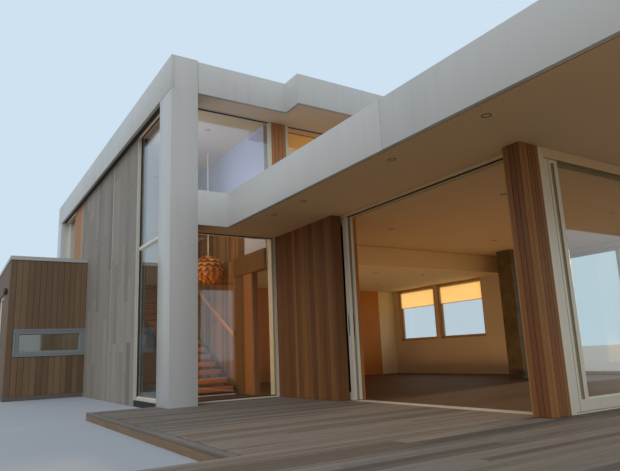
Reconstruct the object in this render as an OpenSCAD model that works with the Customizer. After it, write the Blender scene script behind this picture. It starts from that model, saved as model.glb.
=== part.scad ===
// Beach house: a two-storey block framed by a portal, a single-storey living wing under a wide
// flat eave, a low side wing and a timber deck. Sizes are in millimetres. X runs along the front,
// Y from the front to the back, and heights count from the deck boards. The whole house is then
// moved so that its footprint is centred on the origin, with Z = 0 at the paving.

/* [Storeys] */
// Height of the deck boards above the paving
deck_h = 115; // [100:5:150]
// Height of the block's ground-floor ceiling
ceiling_z = 2700; // [2650:10:2750]
// Height of the upper floor's surface
floor_z = 3000; // [2980:10:3020]
// Height of the lower roof's soffit and the living wing's ceiling
low_soffit_z = 2990; // [2950:10:3050]
// Height of the fascia round the lower roof
low_fascia_h = 620; // [580:10:660]
// Height of the upper roof's soffit
soffit_z = 5420; // [5350:10:5500]
// Height of the fascia round the upper roof
fascia_h = 610; // [560:10:660]

/* [Block] */
// Width of the two-storey block over its fascias
block_w = 10150; // [10000:50:10400]
// Depth of the two-storey block over its fascias
block_d = 11850; // [11700:50:12000]
// Set-back of the left, right and back walls behind the fascias
recess = 155; // [120:5:180]
// Thickness of the outer walls
wall_t = 200; // [160:10:240]
// Outer face of the upper front wall
front_y = 555; // [540:5:580]
// Width of a portal column
column_w = 490; // [450:10:520]
// Depth of the front portal column
column_d = 630; // [600:10:660]
// Depth of the rear portal column
rear_column_d = 650; // [600:10:700]
// Rise of the portal above the front fascia
portal_rise = 30; // [10:5:60]
// Thickness of a fascia casing
fascia_t = 60; // [40:5:80]
// Start of the forward step of the front roof edge
step_x = 2310; // [2280:10:2350]
// Projection of the forward step
step_out = 480; // [440:10:520]

/* [Living wing] */
// Outer face of the timber pocket wall
wing_x = 2260; // [2240:10:2300]
// Front face of the living wing's end wall
wing_front_y = -5180; // [-5300:10:-5100]
// Line of the big eave's fascia
eave_x = 1040; // [1000:10:1100]
// Front edge of the lower roof
eave_front_y = -7950; // [-8100:10:-7800]
// Width of one sliding glass panel
panel_w = 1800; // [1780:5:1820]
// Length of a parked panel that stands out of the pocket
panel_show = 94; // [80:2:110]

/* [Side wing] */
// Length of the side wing to the left of the fascia line
side_wing_w = 1730; // [1700:10:1800]
// Front face of the side wing
side_wing_y = 7440; // [7400:10:7500]
// Height of the side wing's roof
side_wing_h = 3570; // [3520:10:3600]

/* [Deck] */
// Left edge of the deck
deck_x = -1100; // [-1200:10:-1000]
// Left edge of the deck's wide front part
deck_wide_x = -2900; // [-3100:10:-2600]
// Line where the deck widens
deck_wide_y = -4750; // [-4850:10:-4650]
// Thickness of the deck boards
board_t = 32; // [28:1:40]

/* [Hidden] */

// Middle of the footprint
mid_x = (deck_wide_x + block_w) / 2;
mid_y = (eave_front_y + block_d) / 2;

// Faces of the block's walls, and where its rear column starts
wall_x0 = recess;
wall_x1 = block_w - recess;
inner_x0 = wall_x0 + wall_t;
inner_x1 = wall_x1 - wall_t;
inner_y0 = front_y + wall_t;
back_y = block_d - recess;
inner_y1 = back_y - wall_t;
rear_column_y = block_d - rear_column_d;

// Roof decks, which lie below the top of their fascias, and the sheets under them
roof_t = 60;
roof_z = soffit_z + fascia_h - 110;
low_roof_z = low_soffit_z + low_fascia_h - 70;
sheet_t = 40;
roof_inside = [
    [column_w, fascia_t], [step_x + fascia_t, fascia_t], [step_x + fascia_t, fascia_t - step_out],
    [block_w - fascia_t, fascia_t - step_out], [block_w - fascia_t, block_d - fascia_t],
    [column_w, block_d - fascia_t], [column_w, rear_column_y], [fascia_t, rear_column_y],
    [fascia_t, column_d], [column_w, column_d]
];
low_roof_inside = [
    [column_w, fascia_t], [eave_x + fascia_t, fascia_t],
    [eave_x + fascia_t, eave_front_y + fascia_t],
    [block_w - fascia_t, eave_front_y + fascia_t], [block_w - fascia_t, front_y],
    [column_w, front_y]
];

// Hall behind the corner glazing, with its timber lining and the way through to the rooms
hall_x1 = 2200;
hall_y1 = 7150;
hall_wall_t = 120;
hall_pane_y = 480;
hall_door_y = 1390;
hall_door_z = 2430;
band_top_z = 2830;
lining_t = 20;
lining_y = 1720;
lining_top_z = 3900;
hall_end_x = 2225;
hall_end_y = 545;

// Underside of the beam over the rooms, the wall behind them, and the chimney breast
beam_z = 2570;
inner_wall_y = 5880;
chimney_x = 8170;
chimney_y0 = -330;
chimney_y1 = 70;

// Stair and its rail
riser_count = 18;
stair_x0 = 1050;
stair_y0 = 2060;
stair_w = 1000;
tread_t = 100;
tread_gap = 20;
string_t = 40;
string_h = 240;
rise = floor_z / riser_count;
going = (hall_y1 - stair_y0) / (riser_count - 1);
rail_up = 965;
rail_w = 45;
rail_h = 65;
rail_x = stair_x0 + stair_w + 45;
rail_start = 90;
bracket_w = 25;
bracket_every = 5;

// Windows: frame depth, outer bar, middle bar, glass and set-back from the wall's face
frame_d = 70;
frame_bar = 60;
frame_mid = 60;
glass_t = 28;
frame_set = 40;
wide_light = 1800;
head_bar = 25;
floor_bar = 25;
portal_ends = [frame_bar, head_bar];
sill_z = 3700;
low_sill = 1040;
low_head = 2680;
high_sill = 3900;
high_head = 5300;

// A window as [start, end, sill, head, middle bars], with one bar at its middle if it is wide
function window(u, sill, head) =
    [u[0], u[1], sill, head, u[1] - u[0] > wide_light ? [(u[1] - u[0]) / 2] : []];

// Upper front windows, as [start, end] along X, with timber panels between them
front_lights = [[column_w, 2280], [2615, 5300], [5610, 8370], [8680, inner_x1]];
// Windows of the right and back walls, storey by storey
right_low = [for (u = [[2030, 3780], [3940, 5600], [6400, 8600], [9000, 10900]])
    window(u, low_sill, low_head)];
right_high = [for (u = [[1500, 3700], [4600, 6800], [7700, 9900]])
    window(u, high_sill, high_head)];
back_low = [for (u = [[1000, 3000], [3900, 6400], [7300, 9300]]) window(u, low_sill, low_head)];
back_high = [for (u = [[1000, 3000], [3900, 6400], [7300, 9300]]) window(u, high_sill, high_head)];
// Tall side window of the hall, far side window, side wing's windows and living room's window
end_head_z = 2870;
side_cedar_y = 8390;
side_tall = [column_d, 2550, 0, soffit_z, []];
side_far = [9600, rear_column_y, side_wing_h, soffit_z, [1250]];
wing_front_window = [-1570, wall_x0, 970, 1670, []];
wing_left_window = [9100, 10700, 0, 2750, []];
wing_bar = 125;
sea_window = [-4900, -450, 0, end_head_z, [1480, 2970]];

// Side wing's walls, and the cap on them
wing_wall_t = 150;
cap_t = 100;
cap_out = 20;

// Sliding side panels: their own sizes, their tracks, and the pocket and doorway between
panel_t = 50;
stile_w = 90;
panel_foot = 10;
panel_head = 2975;
panel_h = panel_head - panel_foot;
track_lead_x = 2475;
track_trail_x = 2575;
groove_w = 60;
groove_top = panel_head + 7;
track_h = 40;
track_lip = 20;
pocket_x0 = 2440;
pocket_x1 = 2660;
pocket_end_y = 400;
doorway_y0 = -4940;
doorway_y1 = -1456;
inner_leaf_x = 2760;
pull_u = 34;
pull_z = 1010;
pull_w = 24;
pull_h = 320;
pull_out = 30;

// Corner post and the end wall beside it, whose door slides in front of three fixed panes
post_x0 = wing_x + 10;
post_w = 330;
end_x0 = post_x0 + post_w;
end_wall_d = 140;
end_inner_y = 80;
end_sill = 15;
end_fixed_x = 4440;
end_fixed_bars = [1760, 3515];
end_door_x = 2700;
end_door_y = 10;
end_stile_w = 120;
end_rail_w = 40;
end_step_w = 130;
end_step_y = 15;
end_play = 8;
end_door_h = end_head_z - end_sill - 2 * end_play;

// Roller blinds: cloth, their places behind the glass, and how low each one hangs
blind_t = 8;
blind_gap = 20;
blind_top = 40;
blind_side = 10;
blind_in = 45;
low_blind_z = 2090;
high_blind_z = 4880;

// Pendant lamp in the hall
lamp_r = 325;
lamp_at = [1790, 2720, 2690];
rod_r = 12;

// Deck: its outline, and the boards and bearers below it
deck_back_y = 580;
bearer_w = 45;
bearer_gap = 600;
deck_outline = [
    [deck_x, deck_back_y], [deck_x, deck_wide_y], [deck_wide_x, deck_wide_y],
    [deck_wide_x, eave_front_y], [block_w, eave_front_y], [block_w, wing_front_y],
    [wing_x, wing_front_y], [wing_x, doorway_y0], [pocket_x0, doorway_y0],
    [pocket_x0, doorway_y1], [wing_x, doorway_y1], [wing_x, hall_pane_y],
    [column_w, hall_pane_y], [column_w, 0], [0, 0], [0, deck_back_y]
];

module site() {
    translate([-mid_x, -mid_y, deck_h]) children();
}

// A box between two corners
module block(lo, hi) {
    translate(lo) cube(hi - lo);
}

// A level plate given by its outline
module plate(points, z0, z1) {
    translate([0, 0, z0]) linear_extrude(z1 - z0) polygon(points);
}

// A plate in the Y-Z plane, given by [y, z] points
module upright(points, x0, x1) {
    translate([x0, 0, 0]) rotate([90, 0, 90]) linear_extrude(x1 - x0) polygon(points);
}

// A plate in the X-Z plane, given by [x, z] points
module across(points, y0, y1) {
    translate([0, y1, 0]) rotate([90, 0, 0]) linear_extrude(y1 - y0) polygon(points);
}

// Clear spans between two edge bars, with middle bars at the given places
function spans(length, cuts, edges, mid) = [
    for (i = [0 : len(cuts)])
        [i == 0 ? edges[0] : cuts[i - 1] + mid / 2,
         i == len(cuts) ? length - edges[1] : cuts[i] - mid / 2]
];

// A window frame in its own X-Z plane, with its outer face at Y = 0. Its ends are the widths of
// its sill and head, where they differ from its side bars.
module frame(w, h, cuts = [], rails = [], bar = frame_bar, d = frame_d, ends = undef) {
    sides = [bar, bar];
    difference() {
        cube([w, d, h]);
        for (s = spans(w, cuts, sides, frame_mid))
            for (t = spans(h, rails, is_undef(ends) ? sides : ends, frame_mid))
                translate([s[0], -1, t[0]]) cube([s[1] - s[0], d + 2, t[1] - t[0]]);
    }
}

// The panes of the same frame
module panes(w, h, cuts = [], rails = [], bar = frame_bar, d = frame_d, ends = undef) {
    sides = [bar, bar];
    for (s = spans(w, cuts, sides, frame_mid))
        for (t = spans(h, rails, is_undef(ends) ? sides : ends, frame_mid))
            translate([s[0], (d - glass_t) / 2, t[0]])
                cube([s[1] - s[0], glass_t, t[1] - t[0]]);
}

// Puts a window drawn in X-Z on a wall: its X runs along the wall and its Y into the wall
module on_front(u, z, face = front_y) {
    translate([u, face, z]) children();
}

module on_back(u, z) {
    translate([u, back_y, z]) mirror([0, 1, 0]) children();
}

module on_left(u, z, face = wall_x0) {
    translate([face, u, z]) mirror([1, -1, 0]) children();
}

module on_right(u, z) {
    translate([wall_x1, u, z]) rotate([0, 0, 90]) children();
}

module set_frame(win, rails = [], ends = undef) {
    translate([0, frame_set, 0])
        frame(win[1] - win[0], win[3] - win[2], win[4], rails, ends = ends);
}

module set_panes(win, rails = [], ends = undef) {
    translate([0, frame_set, 0])
        panes(win[1] - win[0], win[3] - win[2], win[4], rails, ends = ends);
}

// The hole of a window, which may run past its end and below its sill
module cut(win, past = 0, below = 0) {
    translate([0, -1, -below])
        cube([win[1] - win[0] + past, wall_t + 2, win[3] - win[2] + below]);
}

module ground_floor() {
    color("lightgray") site() {
        plate([[inner_x0, column_d], [column_w, column_d], [column_w, hall_pane_y],
               [wing_x, hall_pane_y], [wing_x, doorway_y1], [pocket_x1, doorway_y1],
               [pocket_x1, doorway_y0], [wing_x, doorway_y0], [wing_x, wing_front_y],
               [wall_x1, wing_front_y], [wall_x1, back_y], [column_w, back_y],
               [column_w, rear_column_y], [inner_x0, rear_column_y]], -deck_h, 0);
        block([-side_wing_w, side_wing_y, -deck_h], [wall_x0, rear_column_y, 0]);
    }
}

module deck_boards() {
    color("rosybrown") site() plate(deck_outline, -board_t, 0);
}

// Edge boards, butted with a small gap at each corner, and the bearers that carry the deck
module deck_frame() {
    gap = 3;
    y0 = eave_front_y + bearer_w + gap;
    y1 = wing_front_y - bearer_w;
    color("sienna") site() translate([0, 0, -deck_h]) linear_extrude(deck_h - board_t) {
        translate([deck_x, deck_wide_y + gap])
            square([bearer_w, deck_back_y - deck_wide_y - gap]);
        translate([deck_wide_x, deck_wide_y - bearer_w])
            square([deck_x + bearer_w - deck_wide_x, bearer_w]);
        translate([deck_wide_x, y0]) square([bearer_w, deck_wide_y - bearer_w - gap - y0]);
        translate([deck_wide_x, eave_front_y]) square([block_w - deck_wide_x, bearer_w]);
        translate([block_w - bearer_w, y0]) square([bearer_w, wing_front_y - y0]);
        for (x = [deck_x + bearer_gap : bearer_gap : wing_x - bearer_gap / 2])
            translate([x, y0 + bearer_w]) square([bearer_w, -bearer_w - y0 - bearer_w]);
        for (x = [deck_wide_x + bearer_gap : bearer_gap : deck_x])
            translate([x, y0 + bearer_w])
                square([bearer_w, deck_wide_y - 3 * bearer_w - y0]);
        for (x = [wing_x + bearer_gap : bearer_gap : block_w - bearer_gap / 2])
            translate([x, y0 + bearer_w]) square([bearer_w, y1 - y0 - bearer_w]);
    }
}

// A portal column: its upper part stands behind the side fascia
module column(y0, y1) {
    block([0, y0, -deck_h], [column_w, y1, soffit_z]);
    block([fascia_t, y0, soffit_z], [column_w, y1, soffit_z + fascia_h + portal_rise]);
}

module front_column() {
    color("gainsboro") site() column(0, column_d);
}

module rear_column() {
    color("gainsboro") site() column(rear_column_y, block_d);
}

module side_fascia() {
    color("gainsboro") site()
        block([0, 0, soffit_z], [fascia_t, block_d, soffit_z + fascia_h + portal_rise]);
}

module front_fascia() {
    color("gainsboro") site()
        plate([[column_w, 0], [step_x, 0], [step_x, -step_out], [block_w, -step_out],
               [block_w, fascia_t - step_out], [step_x + fascia_t, fascia_t - step_out],
               [step_x + fascia_t, fascia_t], [column_w, fascia_t]],
              soffit_z, soffit_z + fascia_h);
}

module rear_fascia() {
    color("gainsboro") site()
        plate([[block_w - fascia_t, fascia_t - step_out], [block_w, fascia_t - step_out],
               [block_w, block_d], [column_w, block_d], [column_w, block_d - fascia_t],
               [block_w - fascia_t, block_d - fascia_t]], soffit_z, soffit_z + fascia_h);
}

module upper_roof() {
    color("silver") site() plate(roof_inside, roof_z - roof_t, roof_z);
}

module upper_ceiling() {
    color("white") site() plate(roof_inside, soffit_z, soffit_z + sheet_t);
}

module upper_floor() {
    color("burlywood") site()
        plate([[hall_x1 + hall_wall_t, inner_y0], [inner_x1, inner_y0], [inner_x1, inner_y1],
               [column_w, inner_y1], [column_w, rear_column_y], [inner_x0, rear_column_y],
               [inner_x0, hall_y1], [hall_x1 + hall_wall_t, hall_y1]], ceiling_z, floor_z);
}

// The beam over the living room's open side, which also closes the wall below the upper windows
module front_beam() {
    color("white") site()
        across([[column_w, low_soffit_z], [hall_x1 + hall_wall_t, low_soffit_z],
                [hall_x1 + hall_wall_t, beam_z], [inner_x1, beam_z], [inner_x1, sill_z],
                [column_w, sill_z]], front_y, inner_y0);
}

// Timber panels between the upper windows, and the one beside the far side window
module cedar_panels() {
    color("peru") site() {
        for (i = [0 : len(front_lights) - 2])
            block([front_lights[i][1], front_y, sill_z],
                  [front_lights[i + 1][0], inner_y0, soffit_z]);
        block([wall_x0, side_cedar_y, side_wing_h], [inner_x0, side_far[0], soffit_z]);
    }
}

module side_wall() {
    color("gray") site() {
        block([wall_x0, side_tall[1], -deck_h], [inner_x0, side_cedar_y, soffit_z]);
        block([wall_x0, column_d, -deck_h], [inner_x0, side_tall[1], 0]);
        block([wall_x0, side_cedar_y, -deck_h], [inner_x0, rear_column_y, side_wing_h]);
    }
}

module right_wall() {
    color("peru") site() difference() {
        upright([[wing_front_y, 0], [inner_y1, 0], [inner_y1, soffit_z], [front_y, soffit_z],
                 [front_y, low_soffit_z], [wing_front_y, low_soffit_z]], inner_x1, wall_x1);
        for (win = concat(right_low, right_high)) on_right(win[0], win[2]) cut(win);
        on_right(sea_window[0], 0) cut(sea_window, 0, 1);
    }
}

module back_wall() {
    color("peru") site() difference() {
        block([column_w, inner_y1, 0], [wall_x1, back_y, soffit_z]);
        for (win = concat(back_low, back_high)) on_back(win[0], win[2]) cut(win);
    }
}

// Hall's corner glazing, upper front windows, and the windows of the other walls
module window_frames() {
    color("white") site() {
        on_front(column_w, 0, hall_pane_y)
            frame(wing_x - column_w, low_soffit_z, d = frame_bar, ends = [floor_bar, head_bar]);
        on_left(side_tall[0], 0) set_frame(side_tall, [low_soffit_z], portal_ends);
        for (s = front_lights)
            on_front(s[0], sill_z) frame(s[1] - s[0], soffit_z - sill_z, ends = portal_ends);
        on_left(side_far[0], side_far[2]) set_frame(side_far, [], portal_ends);
        for (win = concat(right_low, right_high, [sea_window]))
            on_right(win[0], win[2]) set_frame(win);
        for (win = concat(back_low, back_high)) on_back(win[0], win[2]) set_frame(win);
        on_front(wing_front_window[0], wing_front_window[2], side_wing_y)
            frame(wing_front_window[1] - wing_front_window[0],
                  wing_front_window[3] - wing_front_window[2], [], [], wing_bar, wing_wall_t);
        on_left(wing_left_window[0], 0, -side_wing_w) set_frame(wing_left_window);
    }
}

module window_glass() {
    color("lightblue", 0.4) site() {
        on_front(column_w, 0, hall_pane_y)
            panes(wing_x - column_w, low_soffit_z, d = frame_bar, ends = [floor_bar, head_bar]);
        on_left(side_tall[0], 0) set_panes(side_tall, [low_soffit_z], portal_ends);
        for (s = front_lights)
            on_front(s[0], sill_z) panes(s[1] - s[0], soffit_z - sill_z, ends = portal_ends);
        on_left(side_far[0], side_far[2]) set_panes(side_far, [], portal_ends);
        for (win = concat(right_low, right_high, [sea_window]))
            on_right(win[0], win[2]) set_panes(win);
        for (win = concat(back_low, back_high)) on_back(win[0], win[2]) set_panes(win);
        on_front(wing_front_window[0], wing_front_window[2], side_wing_y)
            panes(wing_front_window[1] - wing_front_window[0],
                  wing_front_window[3] - wing_front_window[2], [], [], wing_bar, wing_wall_t);
        on_left(wing_left_window[0], 0, -side_wing_w) set_panes(wing_left_window);
    }
}

module lower_roof() {
    color("silver") site() plate(low_roof_inside, low_roof_z - roof_t, low_roof_z);
}

module lower_soffit() {
    color("white") site() plate(low_roof_inside, low_soffit_z, low_soffit_z + sheet_t);
}

module eave_fascia() {
    color("gainsboro") site()
        plate([[column_w, 0], [eave_x, 0], [eave_x, eave_front_y], [block_w, eave_front_y],
               [block_w, front_y], [block_w - fascia_t, front_y],
               [block_w - fascia_t, eave_front_y + fascia_t],
               [eave_x + fascia_t, eave_front_y + fascia_t], [eave_x + fascia_t, fascia_t],
               [column_w, fascia_t]], low_soffit_z, low_soffit_z + low_fascia_h);
}

// The timber wall outside the pocket, with the pocket's closed end
module pocket_wall() {
    color("sienna") site()
        plate([[wing_x, doorway_y1], [pocket_x0, doorway_y1], [pocket_x0, pocket_end_y],
               [pocket_x1, pocket_end_y], [pocket_x1, hall_pane_y], [wing_x, hall_pane_y]],
              0, low_soffit_z);
}

module pocket_lining() {
    color("peru") site()
        block([pocket_x1, doorway_y1, 0], [inner_leaf_x, hall_pane_y, low_soffit_z]);
}

module corner_post() {
    color("sienna") site()
        block([post_x0, wing_front_y, 0], [end_x0, doorway_y0, low_soffit_z]);
}

// Head track with two grooves, and the flush sill below it
module door_track() {
    play = (groove_w - panel_t) / 2;
    color("dimgray") site() {
        difference() {
            block([track_lead_x - track_lip, doorway_y0, low_soffit_z - track_h],
                  [track_trail_x + panel_t + track_lip, pocket_end_y, low_soffit_z]);
            for (x = [track_lead_x, track_trail_x])
                block([x - play, doorway_y0 - 1, low_soffit_z - track_h - 1],
                      [x - play + groove_w, pocket_end_y + 1, groove_top]);
        }
        block([pocket_x0, doorway_y0, -deck_h], [pocket_x1, doorway_y1, 0]);
    }
}

// The end wall: jambs, head and low sill, with three fixed panes on the inner track
module end_wall_frame() {
    color("white") site() {
        difference() {
            block([end_x0, wing_front_y, 0], [inner_x1, wing_front_y + end_wall_d, low_soffit_z]);
            block([end_x0 + stile_w, wing_front_y - 1, end_sill],
                  [inner_x1 - stile_w, wing_front_y + end_wall_d + 1, end_head_z]);
        }
        translate([end_fixed_x, wing_front_y + end_inner_y, end_sill])
            frame(inner_x1 - stile_w - end_fixed_x, end_head_z - end_sill, end_fixed_bars, [],
                  stile_w, panel_t, [stile_w, end_rail_w]);
    }
}

module end_wall_glass() {
    color("lightblue", 0.4) site()
        translate([end_fixed_x, wing_front_y + end_inner_y, end_sill])
            panes(inner_x1 - stile_w - end_fixed_x, end_head_z - end_sill, end_fixed_bars, [],
                  stile_w, panel_t, [stile_w, end_rail_w]);
}

// Front, left and back walls of the side wing
module side_wing_walls() {
    color("peru") site() difference() {
        block([-side_wing_w, side_wing_y, 0], [wall_x0, rear_column_y, side_wing_h - cap_t]);
        block([wing_wall_t - side_wing_w, side_wing_y + wing_wall_t, -1],
              [wall_x0 + 1, rear_column_y - wing_wall_t, side_wing_h]);
        on_front(wing_front_window[0], wing_front_window[2], side_wing_y)
            cut(wing_front_window, 1);
        on_left(wing_left_window[0], 0, -side_wing_w) cut(wing_left_window, 0, 1);
    }
}

module side_wing_roof() {
    color("gainsboro") site()
        block([-side_wing_w - cap_out, side_wing_y - cap_out, side_wing_h - cap_t],
              [wall_x0, rear_column_y, side_wing_h]);
}

// The wall between the hall and the rooms, over the way through, and its end by the corner pane
module hall_wall() {
    color("white") site() {
        upright([[inner_y0, hall_door_z], [hall_door_y, hall_door_z], [hall_door_y, 0],
                 [hall_y1, 0], [hall_y1, soffit_z], [inner_y0, soffit_z]],
                hall_x1, hall_x1 + hall_wall_t);
        block([hall_end_x, hall_end_y, 0], [hall_x1 + hall_wall_t, inner_y0, low_soffit_z]);
    }
}

module hall_lining() {
    color("sienna") site()
        upright([[inner_y0, hall_door_z], [hall_door_y, hall_door_z], [hall_door_y, 0],
                 [hall_y1, 0], [hall_y1, lining_top_z], [lining_y, lining_top_z],
                 [lining_y, band_top_z], [inner_y0, band_top_z]],
                hall_x1 - lining_t, hall_x1);
}

module inner_wall() {
    color("peru") site()
        block([hall_x1 + hall_wall_t, inner_wall_y, 0],
              [inner_x1, inner_wall_y + hall_wall_t, ceiling_z]);
}

module chimney_breast() {
    color("dimgray") site()
        block([chimney_x, chimney_y0, 0], [inner_x1, chimney_y1, low_soffit_z]);
}

module stair_treads() {
    color("burlywood") site()
        for (i = [1 : riser_count - 1])
            block([stair_x0, stair_y0 + (i - 1) * going, i * rise - tread_t],
                  [stair_x0 + stair_w, stair_y0 + i * going - tread_gap, i * rise]);
}

module stair_strings() {
    drop = string_h - rise;
    color("peru") site()
        for (x = [stair_x0 - string_t, stair_x0 + stair_w])
            upright([[stair_y0, 0], [stair_y0 + drop * going / rise, 0],
                     [hall_y1, floor_z - string_h], [hall_y1, floor_z],
                     [stair_y0, rise]], x, x + string_t);
}

// A sloping rail on three short brackets from the lining
module handrail() {
    rail_y0 = stair_y0 + rail_start;
    low_z = rise + rail_up + rail_start * rise / going;
    color("burlywood") site() {
        upright([[rail_y0, low_z], [hall_y1, floor_z + rail_up],
                 [hall_y1, floor_z + rail_up + rail_h], [rail_y0, low_z + rail_h]],
                rail_x, rail_x + rail_w);
        for (k = [1 : bracket_every : riser_count - 2])
            translate([rail_x + rail_w, stair_y0 + k * going, (k + 1) * rise + rail_up + 5])
                cube([hall_x1 - lining_t - rail_x - rail_w, bracket_w, bracket_w]);
    }
}

// Blinds of two right-hand windows and of one upper front window
module blinds() {
    wall_x = inner_x1 + blind_in;
    color("wheat") site() {
        for (win = [right_low[0], right_low[1]])
            block([wall_x, win[0] + blind_side, low_blind_z],
                  [wall_x + blind_t, win[1] - blind_side, low_head]);
        block([front_lights[1][0] + blind_top, inner_y0 + blind_gap, high_blind_z],
              [front_lights[1][1] - blind_top, inner_y0 + blind_gap + blind_t,
               soffit_z - blind_top]);
    }
}

module pendant_lamp() {
    sink = 10;
    color("chocolate") site() translate(lamp_at) {
        sphere(lamp_r, $fn = 48);
        translate([0, 0, lamp_r - sink])
            cylinder(h = soffit_z - lamp_at[2] - lamp_r + sink, r = rod_r, $fn = 24);
    }
}

// A sliding panel whose length runs along Y, parked in the pocket
module side_panel(x) {
    translate([x, doorway_y1 - panel_show, panel_foot]) mirror([1, -1, 0]) children();
}

module side_panel_frame() {
    frame(panel_w, panel_h, [], [], stile_w, panel_t);
    translate([pull_u, -pull_out, pull_z]) cube([pull_w, pull_out, pull_h]);
}

module side_panel_glass() {
    panes(panel_w, panel_h, [], [], stile_w, panel_t);
}

module lead_door_frame() {
    color("silver") site() side_panel(track_lead_x) side_panel_frame();
}

module lead_door_glass() {
    color("lightblue", 0.4) site() side_panel(track_lead_x) side_panel_glass();
}

module trail_door_frame() {
    color("silver") site() side_panel(track_trail_x) side_panel_frame();
}

module trail_door_glass() {
    color("lightblue", 0.4) site() side_panel(track_trail_x) side_panel_glass();
}

module end_door_place() {
    translate([end_door_x, wing_front_y + end_door_y, end_sill + end_play]) children();
}

// The door in the end wall, with a broad step inside its left stile
module end_door_frame() {
    color("white") site() end_door_place() {
        frame(panel_w, end_door_h, [], [], end_stile_w, panel_t, [end_stile_w, end_rail_w]);
        translate([end_stile_w, end_step_y, end_stile_w])
            cube([end_step_w, panel_t - end_step_y, end_door_h - end_stile_w - end_rail_w]);
    }
}

module end_door_glass() {
    color("lightblue", 0.4) site() end_door_place()
        translate([end_stile_w + end_step_w, (panel_t - glass_t) / 2, end_stile_w])
            cube([panel_w - 2 * end_stile_w - end_step_w, glass_t,
                  end_door_h - end_stile_w - end_rail_w]);
}

ground_floor();
deck_boards();
deck_frame();
front_column();
rear_column();
side_fascia();
front_fascia();
rear_fascia();
upper_roof();
upper_ceiling();
upper_floor();
front_beam();
cedar_panels();
side_wall();
right_wall();
back_wall();
window_frames();
window_glass();
lower_roof();
lower_soffit();
eave_fascia();
pocket_wall();
pocket_lining();
corner_post();
door_track();
end_wall_frame();
end_wall_glass();
side_wing_walls();
side_wing_roof();
hall_wall();
hall_lining();
inner_wall();
chimney_breast();
stair_treads();
stair_strings();
handrail();
blinds();
pendant_lamp();
lead_door_frame();
lead_door_glass();
trail_door_frame();
trail_door_glass();
end_door_frame();
end_door_glass();
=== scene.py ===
import logging
import math
import random
from collections.abc import Callable, Iterable, Mapping, Sequence
from contextlib import contextmanager
from dataclasses import dataclass
from enum import Enum
from typing import Any, Iterator

import bmesh
import bpy
import numpy as np
from mathutils import Matrix, Vector


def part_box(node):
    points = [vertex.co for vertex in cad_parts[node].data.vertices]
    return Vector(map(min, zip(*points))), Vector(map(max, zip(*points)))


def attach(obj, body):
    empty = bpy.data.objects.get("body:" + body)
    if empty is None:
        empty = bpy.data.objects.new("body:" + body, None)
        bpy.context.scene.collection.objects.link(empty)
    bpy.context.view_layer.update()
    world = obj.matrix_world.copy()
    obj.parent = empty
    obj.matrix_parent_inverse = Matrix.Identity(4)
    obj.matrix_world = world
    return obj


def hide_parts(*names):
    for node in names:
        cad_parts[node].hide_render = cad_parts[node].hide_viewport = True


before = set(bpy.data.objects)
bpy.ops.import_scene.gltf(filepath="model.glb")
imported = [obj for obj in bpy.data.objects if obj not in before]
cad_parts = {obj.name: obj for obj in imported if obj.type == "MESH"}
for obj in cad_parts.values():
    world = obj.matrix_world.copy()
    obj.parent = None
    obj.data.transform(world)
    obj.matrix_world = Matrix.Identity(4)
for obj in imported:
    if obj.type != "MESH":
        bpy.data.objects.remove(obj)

# The looks of a timber and panel clad beach house. Sizes are in metres, counted as its drawings
# are: X and Y from the outer corner of the front column, and heights from the deck boards.
LOG = logging.getLogger("beach_house")
HOUSE = Vector((*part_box("front_column")[0].xy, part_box("deck_boards")[1].z))
HAIR = 0.001
ROOT = "house"

Vec = tuple[float, float, float]
Span = tuple[float, float]
Colour = tuple[float, float, float]
Test = Callable[[Vector, Vector], bool]
Piece = bpy.types.Object


def tint(code: str) -> Colour:
    """Returns a colour as light, from the six hexadecimal digits that a paint chart gives."""
    parts = (value / 255 for value in bytes.fromhex(code))
    return tuple(c / 12.92 if c <= 0.04045 else ((c + 0.055) / 1.055) ** 2.4 for c in parts)


def tints(codes: str) -> tuple[Colour, ...]:
    """Returns the colours of several codes."""
    return tuple(tint(code) for code in codes.split())


class Axis(Enum):
    """An axis of the house, by its place in a vector."""

    X = 0
    Y = 1
    Z = 2


class Facing(Enum):
    """The way that a wall's outer face looks, as quarter turns from the front."""

    FRONT = 0
    RIGHT = 1
    BACK = 2
    LEFT = 3

    @property
    def across(self) -> int:
        """The axis through the wall."""
        return 1 - self.value % 2

    @property
    def along(self) -> int:
        """The axis along the wall."""
        return self.value % 2

    @property
    def inward(self) -> int:
        """The direction from the outer face into the wall, as 1 or -1 on its axis."""
        return 1 if self in (Facing.FRONT, Facing.LEFT) else -1

    @property
    def turn(self) -> Matrix:
        """The turn that takes a shape drawn for the front to this side."""
        return Matrix.Rotation(self.value * math.pi / 2, 4, "Z")


FRONT, RIGHT, BACK, LEFT = Facing


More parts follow.
